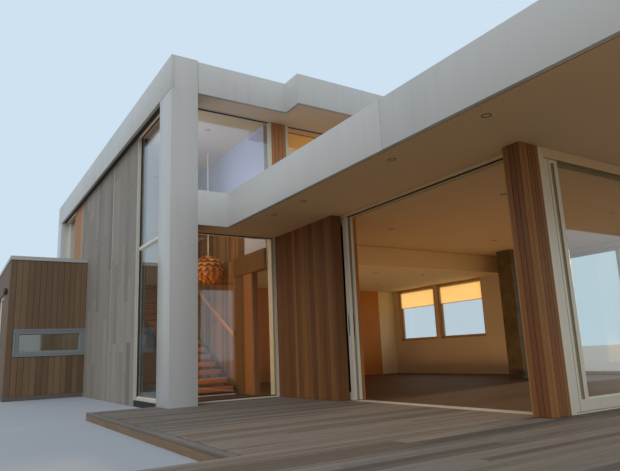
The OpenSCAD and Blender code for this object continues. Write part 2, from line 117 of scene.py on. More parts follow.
@dataclass(frozen=True)
class Box:
    """A box between its low and its high corner."""

    lo: Vec
    hi: Vec

    @classmethod
    def of(cls, x: Span, y: Span, z: Span) -> "Box":
        """Returns the box that fills three spans."""
        return cls((x[0], y[0], z[0]), (x[1], y[1], z[1]))

    @classmethod
    def on(cls, facing: Facing, run: Span, deep: Span, rise: Span) -> "Box":
        """Returns the box that fills spans along a wall, across it in either order, and upwards."""
        spans = {facing.along: run, facing.across: (min(deep), max(deep)), 2: rise}
        return cls.of(spans[0], spans[1], spans[2])

    @property
    def size(self) -> Vec:
        """The box's length along each axis."""
        return tuple(b - a for a, b in zip(self.lo, self.hi))

    @property
    def middle(self) -> Vec:
        """The box's centre."""
        return tuple((a + b) / 2 for a, b in zip(self.lo, self.hi))

    def span(self, axis: int) -> Span:
        """Returns the box's low and high value on an axis."""
        return self.lo[axis], self.hi[axis]

    def grown(self, x: float = 0, y: float = 0, z: float = 0) -> "Box":
        """Returns the box with each pair of sides moved outwards."""
        low = tuple(a - d for a, d in zip(self.lo, (x, y, z)))
        return Box(low, tuple(b + d for b, d in zip(self.hi, (x, y, z))))

    def holds(self, point: Vector) -> bool:
        """Returns whether a point is inside the box."""
        return all(a < v < b for a, v, b in zip(self.lo, point, self.hi))


def select(*objs: Piece) -> None:
    """Selects these objects and no others, because an operator acts on all that is selected.

    Args:
        *objs: The objects, of which the first becomes the active one.
    """
    bpy.ops.object.select_all(action="DESELECT")
    for obj in objs:
        obj.select_set(True)
    if objs:
        bpy.context.view_layer.objects.active = objs[0]


def linked(name: str, data: bpy.types.ID) -> Piece:
    """Returns a new object of the scene with this data."""
    obj = bpy.data.objects.new(name, data)
    bpy.context.scene.collection.objects.link(obj)
    return obj


def points_of(mesh: bpy.types.Mesh) -> np.ndarray:
    """Returns a mesh's corners as rows of three numbers."""
    flat = np.empty(len(mesh.vertices) * 3)
    mesh.vertices.foreach_get("co", flat)
    return flat.reshape(-1, 3)


def set_points(mesh: bpy.types.Mesh, points: np.ndarray) -> None:
    """Moves a mesh's corners to new places."""
    mesh.vertices.foreach_set("co", points.ravel())
    mesh.update()


def set_tone(mesh: bpy.types.Mesh, tone: float) -> None:
    """Stores a piece's own shade, which its finish reads, at each of its corners."""
    mark = mesh.attributes.new("tone", "FLOAT", "POINT")
    mark.data.foreach_set("value", [tone] * len(mesh.vertices))


class Shape:
    """A mesh that is shaped with Blender's modelling operators, as by hand."""

    def __init__(self, name: str, obj: Piece) -> None:
        """Takes an object, and names it and its mesh."""
        self.obj = obj
        obj.name = obj.data.name = name

    @classmethod
    def added(cls, name: str, primitive: str, **place: Any) -> "Shape":
        """Adds one of Blender's primitives and makes its place part of its mesh.

        Args:
            name: The new object's name.
            primitive: The primitive's own name.
            **place: The operator's own sizes and place.
        """
        scale = place.pop("scale", (1, 1, 1))
        select()
        getattr(bpy.ops.mesh, f"primitive_{primitive}_add")(**place)
        bpy.context.object.scale = scale
        bpy.ops.object.transform_apply(location=True, rotation=True, scale=True)
        return cls(name, bpy.context.object)

    @classmethod
    def cube(cls, name: str, box: Box) -> "Shape":
        """Returns a block that fills a box, ready to be shaped."""
        return cls.added(name, "cube", size=1, location=box.middle, scale=box.size)

    @classmethod
    def of_node(cls, name: str, node: str) -> "Shape":
        """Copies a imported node's mesh, merged, with whole flat faces.

        Args:
            name: The copy's name.
            node: The node's name.

        Returns:
            The copy, in house metres.
        """
        obj = linked(name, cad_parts[node].data.copy())
        obj.data.transform(Matrix.Translation(-HOUSE))
        obj.data.materials.clear()
        select(obj)
        shape = cls(name, obj)
        with shape.editing():
            shape.pick_all()
            bpy.ops.mesh.remove_doubles(threshold=HAIR / 10)
            bpy.ops.mesh.dissolve_limited(angle_limit=math.radians(1))
        return shape

    @contextmanager
    def editing(self) -> Iterator[bmesh.types.BMesh]:
        """Opens the mesh in edit mode, with faces as what is picked."""
        bpy.context.view_layer.objects.active = self.obj
        bpy.context.tool_settings.mesh_select_mode = (False, False, True)
        bpy.ops.object.mode_set(mode="EDIT")
        yield
        bpy.ops.object.mode_set(mode="OBJECT")

    @staticmethod
    def pick_all() -> None:
        """Selects the whole mesh."""
        bpy.ops.mesh.select_all(action="SELECT")

    def pick(self, test: Test) -> int:
        """Selects the faces whose centre and normal pass a test, and no others.

        Args:
            test: Takes a face's centre and its normal.

        Returns:
            How many faces passed.
        """
        bpy.ops.mesh.select_all(action="DESELECT")
        mesh = bmesh.from_edit_mesh(self.obj.data)
        mesh.normal_update()
        found = [f for f in mesh.faces if test(f.calc_center_median(), f.normal)]
        for face in found:
            face.select_set(True)
        bmesh.update_edit_mesh(self.obj.data)
        return len(found)

    def paint(self, finish: "Finish") -> None:
        """Paints the picked faces.

        Args:
            finish: One of the mesh's own finishes.
        """
        index = self.obj.data.materials.find(finish.name)
        mesh = bmesh.from_edit_mesh(self.obj.data)
        for face in mesh.faces:
            if face.select:
                face.material_index = index
        bmesh.update_edit_mesh(self.obj.data)

    def coat(self, finish: "Finish", test: Test) -> None:
        """Gives the faces that pass a test one of the mesh's own finishes."""
        self.pick(test)
        self.paint(finish)

    def inset(self, width: float, depth: float = 0, each: bool = True) -> None:
        """Insets the picked faces, and sinks or lifts what is inside by a depth."""
        bpy.ops.mesh.inset(thickness=width, depth=depth, use_individual=each)

    def push(self, by: Vec) -> None:
        """Extrudes the picked faces by a vector."""
        bpy.ops.mesh.extrude_region_move(TRANSFORM_OT_translate={"value": by})

    def slice(self, axis: int, place: float) -> None:
        """Cuts new edges where a plane meets the mesh.

        Args:
            axis: The axis that the plane lies across.
            place: Where on that axis it lies.
        """
        point, normal = [0.0] * 3, [0.0] * 3
        point[axis], normal[axis] = place, 1.0
        self.pick_all()
        bpy.ops.mesh.bisect(plane_co=point, plane_no=normal)

    def modify(self, kind: str, **settings: Any) -> "Shape":
        """Adds a modifier and applies it.

        Args:
            kind: The modifier's type.
            **settings: Its settings.

        Returns:
            The same shape.
        """
        select(self.obj)
        modifier = self.obj.modifiers.new(kind.title(), kind)
        for key, value in settings.items():
            setattr(modifier, key, value)
        bpy.ops.object.modifier_apply(modifier=modifier.name)
        return self

    def eased(self, width: float, segments: int = 1, angle: float = 40) -> "Shape":
        """Rounds the mesh's sharp edges.

        Args:
            width: How far the rounding reaches on each side of an edge.
            segments: Its steps.
            angle: How far an edge has to turn, in degrees.

        Returns:
            The same shape.
        """
        limit = math.radians(angle)
        return self.modify(
            "BEVEL", width=width, segments=segments, limit_method="ANGLE", angle_limit=limit
        )

    def finished(self, *finishes: "Finish") -> "Shape":
        """Gives the mesh its finishes, and all its faces the first of them.

        Args:
            *finishes: The finishes, one to a slot.

        Returns:
            The same shape.
        """
        self.obj.data.materials.clear()
        for finish in finishes:
            self.obj.data.materials.append(finish.material())
        return self


@dataclass(frozen=True)
class Stock:
    """A shape modelled once at a nominal size. Its copies keep its edges and corners as they
    are and stretch between them, as a length cut from a rolled or sawn section does."""

    mesh: bpy.types.Mesh

    @classmethod
    def from_shape(cls, shape: Shape) -> "Stock":
        """Takes a mesh into stock, and its object out of the scene.

        Args:
            shape: The finished shape.

        Returns:
            The stock.
        """
        mesh = shape.obj.data
        mesh.use_fake_user = True
        bpy.data.objects.remove(shape.obj)
        return cls(mesh)

    def piece(self, box: Box, facing: Facing = FRONT, tone: float = 0.5, scaled: bool = False) -> Piece:
        """Cuts a piece that fills a box.

        Args:
            box: Where the piece goes.
            facing: The side of the house that it is turned to.
            tone: The piece's own shade, from 0 to 1, which its finish reads.
            scaled: Whether the whole shape is scaled, and not only stretched at its middle.

        Returns:
            The new piece, with a mesh of its own.
        """
        mesh = self.mesh.copy()
        turn = np.array(facing.turn.to_3x3())
        points = points_of(mesh) @ turn.T
        low, high = points.min(0), points.max(0)
        if scaled:
            share = (points - low) / (high - low)
            points = np.array(box.lo) + share * np.array(box.size)
        else:
            nearer = points < (low + high) / 2
            points = np.where(nearer, points - low + box.lo, points - high + box.hi)
        set_points(mesh, points)
        set_tone(mesh, tone)
        return linked(self.mesh.name, mesh)


def joined(name: str, parts: Iterable[Piece]) -> Shape:
    """Joins pieces into one mesh.

    Args:
        name: The joined piece's name.
        parts: The pieces, of which at least one.
    """
    found = list(parts)
    select(*found)
    if len(found) > 1:
        bpy.ops.object.join()
    return Shape(name, found[0])


def hand_over(
    shape: Shape, replaces: Sequence[str] = (), body: str = ROOT, smooth: float = 0
) -> Piece:
    """Puts a finished piece in its place on the house.

    Args:
        shape: The piece, in house metres.
        replaces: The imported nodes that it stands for.
        body: The body that it moves with.
        smooth: The sharpest angle, in degrees, that is shaded smooth, or 0 for none.

    Returns:
        The piece's object.
    """
    obj = shape.obj
    obj.data.transform(Matrix.Translation(HOUSE))
    obj.data.update()
    if smooth:
        select(obj)
        bpy.ops.object.shade_smooth_by_angle(angle=math.radians(smooth))
    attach(obj, body)
    if replaces:
        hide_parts(*replaces)
    LOG.info("%s: %d faces on %s", obj.name, len(obj.data.polygons), body)
    return obj


def islands(node: str) -> list[Box]:
    """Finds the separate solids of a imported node.

    Args:
        node: The node's name.

    Returns:
        The box of each, in house metres, from low to high on X, then Y, then Z.
    """
    mesh = bmesh.new()
    mesh.from_mesh(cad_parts[node].data)
    bmesh.ops.remove_doubles(mesh, verts=mesh.verts, dist=HAIR / 10)
    seen: set[bmesh.types.BMVert] = set()
    found = []
    for start in mesh.verts:
        if start in seen:
            continue
        group, queue = [], [start]
        seen.add(start)
        while queue:
            vert = queue.pop()
            group.append(vert.co - HOUSE)
            for edge in vert.link_edges:
                other = edge.other_vert(vert)
                if other not in seen:
                    seen.add(other)
                    queue.append(other)
        rows = np.array(group).round(4)
        found.append(Box(tuple(rows.min(0).tolist()), tuple(rows.max(0).tolist())))
    mesh.free()
    return sorted(found, key=lambda b: b.lo)


def whole(node: str) -> Box:
    """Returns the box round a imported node, in house metres."""
    low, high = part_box(node)
    return Box(tuple(round(v, 4) for v in low - HOUSE), tuple(round(v, 4) for v in high - HOUSE))


def corners(node: str) -> np.ndarray:
    """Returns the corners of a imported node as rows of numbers, in house metres."""
    return (points_of(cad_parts[node].data) - np.array(HOUSE)).round(4)


def side_of(pane: Box) -> Facing:
    """Returns FRONT for an upright pane or frame that lies along X, and RIGHT for one along Y."""
    return FRONT if pane.size[1] < pane.size[0] else RIGHT


class Graph:
    """The shader tree of one material or of the world, and the one way to add a node to it."""

    def __init__(self, owner: bpy.types.Material | bpy.types.World) -> None:
        """Empties the tree of a material or of the world."""
        owner.use_nodes = True
        self.tree = owner.node_tree
        self.tree.nodes.clear()

    def node(
        self,
        kind: str,
        settings: Mapping[str, Any] | None = None,
        inputs: Mapping[int | str, Any] | None = None,
        output: int | str = 0,
    ) -> "Value":
        """Adds a node.

        Args:
            kind: The node's type.
            settings: Its own settings, set first. A ramp's stops are pairs of place and colour.
            inputs: The value or the link of each socket, by name or number.
            output: The socket that the answer comes from.

        Returns:
            The chosen output, ready for arithmetic.
        """
        node = self.tree.nodes.new(kind)
        for key, value in (settings or {}).items():
            if key == "stops":
                self._set_stops(node.color_ramp, value)
            else:
                setattr(node, key, value)
        for key, value in (inputs or {}).items():
            socket = node.inputs[key]
            if isinstance(value, Value):
                self.tree.links.new(value.socket, socket)
            elif socket.type == "RGBA":
                socket.default_value = (*value, 1.0)
            else:
                socket.default_value = value
        return Value(self, node.outputs[output]) if node.outputs else Value(self, None)

    @staticmethod
    def _set_stops(ramp: bpy.types.ColorRamp, stops: Sequence[tuple[float, Colour]]) -> None:
        """Sets up a colour ramp.

        Args:
            ramp: The ramp.
            stops: Its stops, as pairs of place and colour.
        """
        while len(ramp.elements) < len(stops):
            ramp.elements.new(1.0)
        for element, (place, colour) in zip(ramp.elements, stops):
            element.position = place
            element.color = (*colour, 1.0)

    def place(self) -> "Value":
        """Returns the point on the piece, in metres."""
        return self.node("ShaderNodeTexCoord", output="Object")

    def tone(self) -> "Value":
        """Returns the piece's own shade, from 0 to 1."""
        return self.node("ShaderNodeAttribute", {"attribute_name": "tone"}, output="Fac")

    def split(self, vector: "Value") -> tuple["Value", "Value", "Value"]:
        """Returns a vector's three parts."""
        parts = self.node("ShaderNodeSeparateXYZ", inputs={0: vector}).socket.node.outputs
        return tuple(Value(self, s) for s in parts)

    def vector(self, x: Any, y: Any, z: Any) -> "Value":
        """Returns the vector of three values."""
        return self.node("ShaderNodeCombineXYZ", inputs={0: x, 1: y, 2: z})

    def scaled(self, vector: "Value", by: Vec) -> "Value":
        """Returns a vector times another, part by part."""
        return self.node("ShaderNodeVectorMath", {"operation": "MULTIPLY"}, {0: vector, 1: by})

    def moved(self, vector: "Value", by: Any) -> "Value":
        """Returns the sum of two vectors."""
        return self.node("ShaderNodeVectorMath", {"operation": "ADD"}, {0: vector, 1: by})

    def lit(self, colour: Any, by: Any) -> "Value":
        """Returns a colour made lighter or darker by a factor."""
        return self.node("ShaderNodeVectorMath", {"operation": "SCALE"}, {"Vector": colour, "Scale": by})

    def blend(self, share: Any, first: Any, second: Any) -> "Value":
        """Returns the mix of two colours."""
        return self.node(
            "ShaderNodeMix", {"data_type": "RGBA"}, {0: share, 6: first, 7: second}, output=2
        )

    def noise(
        self, at: "Value", scale: float, detail: float = 2, rough: float = 0.5, bend: float = 0
    ) -> "Value":
        """Returns a noise of 0 to 1 at a point."""
        sizes = {"Scale": scale, "Detail": detail, "Roughness": rough, "Distortion": bend}
        return self.node("ShaderNodeTexNoise", inputs={"Vector": at, **sizes})

    def eased(self, value: "Value", low: float, high: float) -> "Value":
        """Returns 0 below the low value, 1 above the high one, and a soft step between."""
        ends = {"Value": value, "From Min": low, "From Max": high}
        return self.node("ShaderNodeMapRange", {"interpolation_type": "SMOOTHSTEP"}, ends)

    def bump(self, height: "Value", strength: float, distance: float) -> "Value":
        """Returns the normal of a surface with a height on it, in metres."""
        sizes = {"Height": height, "Strength": strength, "Distance": distance}
        return self.node("ShaderNodeBump", inputs=sizes)

    def surface(self, **sockets: Any) -> "Value":
        """Returns a Principled shader, whose sockets are named with an underscore for a space."""
        named = {key.replace("_", " "): value for key, value in sockets.items()}
        return self.node("ShaderNodeBsdfPrincipled", inputs=named)

    def end(self, shader: "Value", kind: str = "ShaderNodeOutputMaterial") -> None:
        """Makes a shader the tree's surface."""
        self.node(kind, inputs={"Surface": shader})

    def skin(self, **sockets: Any) -> None:
        """Makes a Principled shader the tree's surface."""
        self.end(self.surface(**sockets))


def _operator(operation: str, swapped: bool = False) -> Callable[["Value", Any], "Value"]:
    """Returns the method that adds one operation's Math node.

    Args:
        operation: The node's operation.
        swapped: Whether the value comes second, as in a reflected operator.
    """

    def method(self: "Value", other: Any) -> "Value":
        """Returns the operation's answer."""
        first, second = (other, self) if swapped else (self, other)
        return self.math(operation, first, second)

    return method


@dataclass(frozen=True)
class Value:
    """A shader socket that takes part in arithmetic, each step of which adds a Math node."""

    graph: Graph
    socket: bpy.types.NodeSocket

    def math(self, operation: str, first: Any, second: Any, clamp: bool = False) -> "Value":
        """Adds a Math node on two values."""
        settings = {"operation": operation, "use_clamp": clamp}
        return self.graph.node("ShaderNodeMath", settings, {0: first, 1: second})

    def kept(self) -> "Value":
        """Returns self, held between 0 and 1."""
        return self.math("ADD", self, 0.0, clamp=True)

    __add__ = __radd__ = _operator("ADD")
    __sub__ = _operator("SUBTRACT")
    __rsub__ = _operator("SUBTRACT", swapped=True)
    __mul__ = __rmul__ = _operator("MULTIPLY")
    __truediv__ = _operator("DIVIDE")
    __pow__ = _operator("POWER")
    __mod__ = _operator("FLOORED_MODULO")


@dataclass(frozen=True)
class Finish:
    """What a surface is made of. Its material is made once and shared."""

    name: str

    def material(self) -> bpy.types.Material:
        """Returns the finish's material."""
        found = bpy.data.materials.get(self.name)
        if found is None:
            found = bpy.data.materials.new(self.name)
            self.shade(Graph(found))
        return found

    def shade(self, g: Graph) -> None:
        """Builds the shader of the finish."""
        raise NotImplementedError

    def dress(self, *nodes: str) -> None:
        """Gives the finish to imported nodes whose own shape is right.

        Args:
            *nodes: The nodes' names.
        """
        for name in nodes:
            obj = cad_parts[name]
            if not obj.material_slots:
                obj.data.materials.append(None)
            for slot in obj.material_slots:
                slot.material = self.material()


@dataclass(frozen=True)
class Coating(Finish):
    """A smooth factory coating on sheet metal, with faint rain marks and dust."""

    colour: Colour
    rough: float = 0.3
    metal: float = 0.0
    dust: float = 0.06
    marks: Vec = (7.0, 7.0, 0.7)
    wave: float = 0.12

    def shade(self, g: Graph) -> None:
        """Builds clean paint that is a little duller and darker where rain has run."""
        at = g.place()
        cloud = g.noise(at, 0.7, 3)
        run = g.noise(g.scaled(at, self.marks), 1.0, 4, 0.6)
        speck = g.noise(at, 90, 2)
        soil = g.eased(run * 0.6 + cloud * 0.4, 0.42, 0.72)
        shade = 1.0 - soil * self.dust + (speck - 0.5) * 0.03
        swell = g.noise(at, 1.3, 1) * 0.8 + speck * 0.05
        g.skin(
            Base_Color=g.lit(self.colour, shade),
            Metallic=self.metal,
            Roughness=(self.rough + soil * 0.14 + (speck - 0.5) * 0.05).kept(),
            Normal=g.bump(swell, self.wave, 0.004),
        )


@dataclass(frozen=True)
class Timber(Finish):
    """Sawn or planed boards, whose figure differs from board to board, and whose shade lies on a
    ramp of tones, from dark to pale."""

    tones: tuple[Colour, ...]
    grain: Axis = Axis.Z
    rough: float = 0.62
    contrast: float = 0.5
    fibre: float = 0.35
    grey: Colour = (0.2, 0.19, 0.17)
    weather: float = 0.0

    def shade(self, g: Graph) -> None:
        """Builds long figure along the grain, fine fibre on it, and grey where it has weathered."""
        tone = g.tone()
        at = g.moved(g.place(), g.vector(tone * 37.0, tone * 91.0, tone * 53.0))
        wide = [1.0, 1.0, 1.0]
        wide[self.grain.value] = 0.045
        figure = g.noise(g.scaled(at, tuple(26 * w for w in wide)), 1.0, 3, 0.55, 0.9)
        lines = g.noise(g.scaled(at, tuple(150 * w for w in wide)), 1.0, 3, 0.6, 0.3)
        fibre = g.noise(g.scaled(at, tuple(700 * w for w in wide)), 1.0, 2)
        patch = g.noise(at, 0.8, 2)
        stops = list(zip((0.0, 0.5, 1.0), self.tones))
        board = g.node("ShaderNodeValToRGB", {"stops": stops}, {0: tone})
        drawn = figure * 0.5 + lines * 0.35 + fibre * 0.15
        shade = 1.0 + (drawn - 0.5) * (2 * self.contrast) + (patch - 0.5) * 0.12
        colour = g.lit(board, shade)
        if self.weather:
            worn = g.eased(patch * 0.5 + lines * 0.25 + tone * 0.25, 0.38, 0.62) * self.weather
            colour = g.blend(worn.kept(), colour, g.lit(self.grey, shade))
        g.skin(
            Base_Color=colour,
            Roughness=(self.rough + (0.5 - drawn) * 0.25).kept(),
            Normal=g.bump(lines * 0.6 + fibre * 0.4, self.fibre, 0.0012),
        )


@dataclass(frozen=True)
class Plaster(Finish):
    """Trowelled or rolled paint on board, with a fine nap."""

    colour: Colour
    rough: float = 0.8
    nap: float = 140.0

    def shade(self, g: Graph) -> None:
        """Builds an even colour with faint clouds and a roller's nap."""
        at = g.place()
        cloud = g.noise(at, 0.9, 3)
        nap = g.noise(at, self.nap, 2)
        g.skin(
            Base_Color=g.lit(self.colour, 0.97 + cloud * 0.06 + (nap - 0.5) * 0.03),
            Roughness=(self.rough + (nap - 0.5) * 0.1).kept(),
            Normal=g.bump(nap, 0.15, 0.001),
        )


@dataclass(frozen=True)
class Stone(Finish):
    """Concrete, tile or dark basalt: mottled, with grit and pores."""

    colour: Colour
    spot: Colour
    rough: float = 0.7
    scale: float = 5.0

    def shade(self, g: Graph) -> None:
        """Builds soft mottling, fine grit and small dark pores."""
        at = g.place()
        mottle = g.noise(at, self.scale, 5, 0.6)
        grit = g.noise(at, 160, 3)
        pores = g.eased(g.noise(at, 60, 1), 0.66, 0.72)
        colour = g.blend(g.eased(mottle, 0.35, 0.7), self.colour, self.spot)
        g.skin(
            Base_Color=g.lit(colour, 0.93 + grit * 0.14 - pores * 0.2),
            Roughness=(self.rough + (grit - 0.5) * 0.15).kept(),
            Normal=g.bump(grit * 0.6 - pores, 0.3, 0.0015),
        )


@dataclass(frozen=True)
class Floor(Finish):
    """Oiled floorboards on a concrete slab, whose bare edge shows outside."""

    pale: Colour
    dark: Colour
    slab: Colour
    width: float = 0.13
    rough: float = 0.6

    def shade(self, g: Graph) -> None:
        """Builds boards along X with a fine joint, and concrete below their surface."""
        at = g.place()
        x, y, z = g.split(at)
        row = y / self.width
        off = row % 1.0 - 0.5
        joint = g.eased((off * off) ** 0.5, 0.47, 0.5)
        number = {"W": row - row % 1.0}
        which = g.node("ShaderNodeTexWhiteNoise", {"noise_dimensions": "1D"}, number)
        long_at = g.vector(x * 2.0 + which * 40.0, y * 45.0, z)
        figure = g.noise(long_at, 1.0, 4, 0.6, 0.6)
        drawn = (figure * 0.6 + which * 0.4).kept()
        wood = g.lit(g.blend(drawn, self.dark, self.pale), 1.0 - joint * 0.6)
        top = g.eased(z, HOUSE.z - 0.004, HOUSE.z - 0.001)
        grit = g.noise(at, 90, 3)
        bare = g.lit(self.slab, 0.85 + grit * 0.3)
        g.skin(
            Base_Color=g.blend(top, bare, wood),
            Roughness=(0.8 + top * (self.rough - 0.8 + (figure - 0.5) * 0.12)).kept(),
            Normal=g.bump(figure * 0.3 - joint + grit * (1.0 - top), 0.2, 0.001),
        )


@dataclass(frozen=True)
class Membrane(Finish):
    """Roofing sheet with mineral grit, dust and dried puddle edges."""

    colour: Colour
    dirt: Colour

    def shade(self, g: Graph) -> None:
        """Builds a matt sheet whose low places have gathered dust."""
        at = g.place()
        pond = g.noise(at, 0.55, 4, 0.55, 0.4)
        edge = g.eased(pond, 0.5, 0.53) * (1.0 - g.eased(pond, 0.55, 0.6))
        grit = g.noise(at, 260, 2)
        tone = g.tone()
        colour = g.blend(g.eased(pond, 0.45, 0.75) * 0.6, self.colour, self.dirt)
        g.skin(
            Base_Color=g.lit(colour, 0.88 + tone * 0.1 + grit * 0.12 - edge * 0.12),
            Roughness=(0.82 + (grit - 0.5) * 0.2).kept(),
            Normal=g.bump(grit, 0.35, 0.0012),
        )


@dataclass(frozen=True)
class Glazing(Finish):
    """Clear glass that mirrors more the more it is seen from the side."""

    tint: Colour = (0.95, 0.97, 0.955)
    shine: Colour = (1.0, 1.0, 1.0)
    least: float = 0.1

    def shade(self, g: Graph) -> None:
        """Builds a clear pane with a mirror that grows to the edges of sight."""
        side = g.node("ShaderNodeLayerWeight", inputs={"Blend": 0.5}, output="Facing")
        share = self.least + (1.0 - self.least) * side**5.0
        smear = g.noise(g.place(), 3.0, 3)
        clear = g.node("ShaderNodeBsdfTransparent", inputs={"Color": self.tint})
        shine = {"Color": self.shine, "Roughness": 0.015, "Normal": g.bump(smear, 0.02, 0.002)}
        mirror = g.node("ShaderNodeBsdfAnisotropic", {"distribution": "GGX"}, shine)
        g.end(g.node("ShaderNodeMixShader", inputs={0: share.kept(), 1: clear, 2: mirror}))


@dataclass(frozen=True)
class Cloth(Finish):
    """Woven blind cloth that lets some of the light behind it through."""

    colour: Colour
    thread: float = 900.0
    through: float = 0.9

    def shade(self, g: Graph) -> None:
        """Builds a plain weave, whose threads are a little uneven."""
        at = g.place()
        x, y, z = g.split(at)
        level = g.node("ShaderNodeMath", {"operation": "SINE"}, {0: z * self.thread})
        upright = g.node("ShaderNodeMath", {"operation": "SINE"}, {0: (x + y) * self.thread})
        weave = level * upright
        slub = g.noise(g.scaled(at, (3.0, 3.0, 60.0)), 1.0, 3)
        fade = g.noise(at, 1.5, 2)
        colour = g.lit(self.colour, 0.9 + slub * 0.16 + weave * 0.03 + (fade - 0.5) * 0.08)
        face = g.surface(Base_Color=colour, Roughness=0.85, Normal=g.bump(weave, 0.2, 0.0004))
        glow = g.node("ShaderNodeBsdfTranslucent", inputs={"Color": colour})
        cloth = g.node("ShaderNodeMixShader", inputs={0: self.through, 1: face, 2: glow})
        behind = g.node("ShaderNodeNewGeometry", output="Backfacing")
        clear = g.node("ShaderNodeBsdfTransparent", inputs={"Color": (1.0, 1.0, 1.0)})
        g.end(g.node("ShaderNodeMixShader", inputs={0: behind, 1: cloth, 2: clear}))


@dataclass(frozen=True)
class Veneer(Finish):
    """Thin curved wood leaves that glow a little where light comes through."""

    pale: Colour
    dark: Colour

    def shade(self, g: Graph) -> None:
        """Builds fine figure along each leaf's own length, with each leaf lighter at its tip and darker
        at its covered top, which is painted light and shade.
        """
        tone = g.tone()
        at = g.node("ShaderNodeTexCoord", output="UV")
        along = g.scaled(at, (24.0, 2.0, 1.0))
        drawn = g.noise(g.moved(along, g.vector(tone * 31.0, tone * 17.0, tone)), 1.0, 4, 0.6, 0.5)
        v = g.split(at)[1]
        colour = g.blend((drawn * 0.5 + tone * 0.9 - 0.25).kept(), self.dark, self.pale)
        # Painted light and shade: lighter towards the tip, darker towards the top.
        colour = g.lit(colour, 1.75 - v * 1.35)
        wood = g.surface(
            Base_Color=colour,
            Roughness=(0.42 + drawn * 0.2).kept(),
            Normal=g.bump(drawn, 0.2, 0.0006),
        )
        glow = g.node("ShaderNodeBsdfTranslucent", inputs={"Color": colour})
        g.end(g.node("ShaderNodeMixShader", inputs={0: 0.3, 1: wood, 2: glow}))


@dataclass(frozen=True)
class Rubber(Finish):
    """Black gasket, membrane edge or shadowed backing."""

    colour: Colour
    rough: float = 0.75

    def shade(self, g: Graph) -> None:
        """Builds a matt surface with a bloom of dust."""
        bloom = g.noise(g.place(), 14.0, 4, 0.6)
        g.skin(
            Base_Color=g.lit(self.colour, 0.75 + bloom * 0.5),
            Roughness=(self.rough + (bloom - 0.5) * 0.2).kept(),
        )


PANEL = Coating("panel_coating", tint("c0c4c6"), rough=0.3)
# Dark paint for shadow gaps, which is painted shade.
GAP_SHADE = Rubber("panel_joint", tint("343230"))
SOFFIT = Plaster("soffit_paint", tint("ceb798"), rough=0.7)
CEILING = Plaster("ceiling_paint", tint("ded4c4"))
WALL_PAINT = Plaster("wall_paint", tint("d6ccba"))
# Cream paint, which on the hall wall's end is partly painted sunlight and at the stair's foot is painted
# sunlight.
CREAM_AND_SUNLIT = Plaster("cream_paint", tint("eee2c4"))
UPPER_SOFFIT = Plaster("upper_soffit_paint", tint("f2dcc0"), rough=0.7)
# Cool paint on the top of the hall wall, which is painted shade from the sky.
COOL_SHADE_PAINT = Plaster("upper_room_paint", tint("ced0de"))
# Warm paint of the front beam, also used as a painted reflection on the ceiling behind the hall's upper
# window.
BEAM_PAINT_AND_REFLECTION = Plaster("beam_paint", tint("e8ce9e"))
CEDAR = Timber("cedar_boards", tints("5a3412 70451b 8c5f2e"), contrast=0.7)
WING_LINING = Timber("wing_lining", tints("84764c 968658 a89866"), contrast=0.6)
# The corner post's cedar comes in two copies: the left face's copy is darker, which is painted shade.
POST_BOARDS = Timber("post_boards", tints("6c421a 845424 9c6c38"), contrast=0.6)
SHADED_POST_SIDE = Timber("post_side_boards", tints("5c320c 6e3e11 804e1b"), contrast=0.5)
WORN_CEDAR = Timber(
    "worn_cedar_boards", tints("5c4634 705842 846a52"),
    contrast=0.4, weather=0.45, grey=tint("746454"), rough=0.7,
)
CEDAR_BRIGHT = Timber("cedar_panel_boards", tints("926238 aa7646 c08e5c"))
WING_CEDAR = Timber(
    "wing_boards", tints("56412c 6a533c 80664c"),
    contrast=0.5, weather=0.25, grey=tint("685c50"), rough=0.7,
)
GREY_BOARDS = Timber(
    "weathered_boards", tints("7a746d 8d8882 a09c96"),
    contrast=0.5, weather=0.6, grey=tint("8e8b87"), rough=0.8,
)
DECKING = Timber(
    "deck_boards", tints("5a4f45 706458 887b6c"),
    grain=Axis.X, contrast=0.6, weather=0.5, grey=tint("716e6b"), rough=0.7,
)
DECK_BORDER = Timber(
    "deck_border", tints("5c564f 6a635b 787067"),
    grain=Axis.Y, contrast=0.45, weather=0.6, grey=tint("706e6c"), rough=0.7,
)
DECK_EDGE = Timber(
    "deck_edge_boards", tints("806a54 948068 a8967e"),
    grain=Axis.Y, contrast=0.9, weather=0.45, grey=tint("867a68"), rough=0.85,
)
STAIR = Timber("tread_timber", tints("ac5c18 c06e20 d0822e"), grain=Axis.X, contrast=0.35, rough=0.4)
# Dark strings, which are painted shade beside the treads.
SHADED_STRING = Timber("string_timber", tints("4a2c18 56341c 623e22"), grain=Axis.Y, rough=0.5)
RAIL = Timber("rail_timber", tints("ec9628 f2a234 f8b046"), grain=Axis.Y, contrast=0.3, rough=0.35)
LINING = Timber("hall_boards", tints("764a22 986632 b6844a"), contrast=0.6, rough=0.5)
# Dark hall timber, which also serves as painted shade above the beam.
DARK_LINING_AND_SHADE = Timber("hall_beam_timber", tints("684822 7a562a 8a6434"), rough=0.5)
POCKET_TIMBER = Timber("pocket_timber", tints("b07438 be8242 cc9250"), contrast=0.4)
PANELLING = Timber("inner_wall_timber", tints("c68644 ce8e4a d69854"), contrast=0.4)
JOINERY_TIMBER = Timber("joinery_timber", tints("965e30 ac703c be824c"), contrast=0.4, rough=0.45)
FRAME = Coating("window_aluminium", tint("d8d2c0"), rough=0.36, metal=0.15, dust=0.04, wave=0.02)
WING_FRAME = Coating("wing_window_coating", tint("80898e"), rough=0.4, metal=0.1)
# The end door's head is coated darker, as painted shade.
SHADED_DOOR_HEAD = Coating("door_head_coating", tint("70643e"), rough=0.45, metal=0.1, wave=0.02)
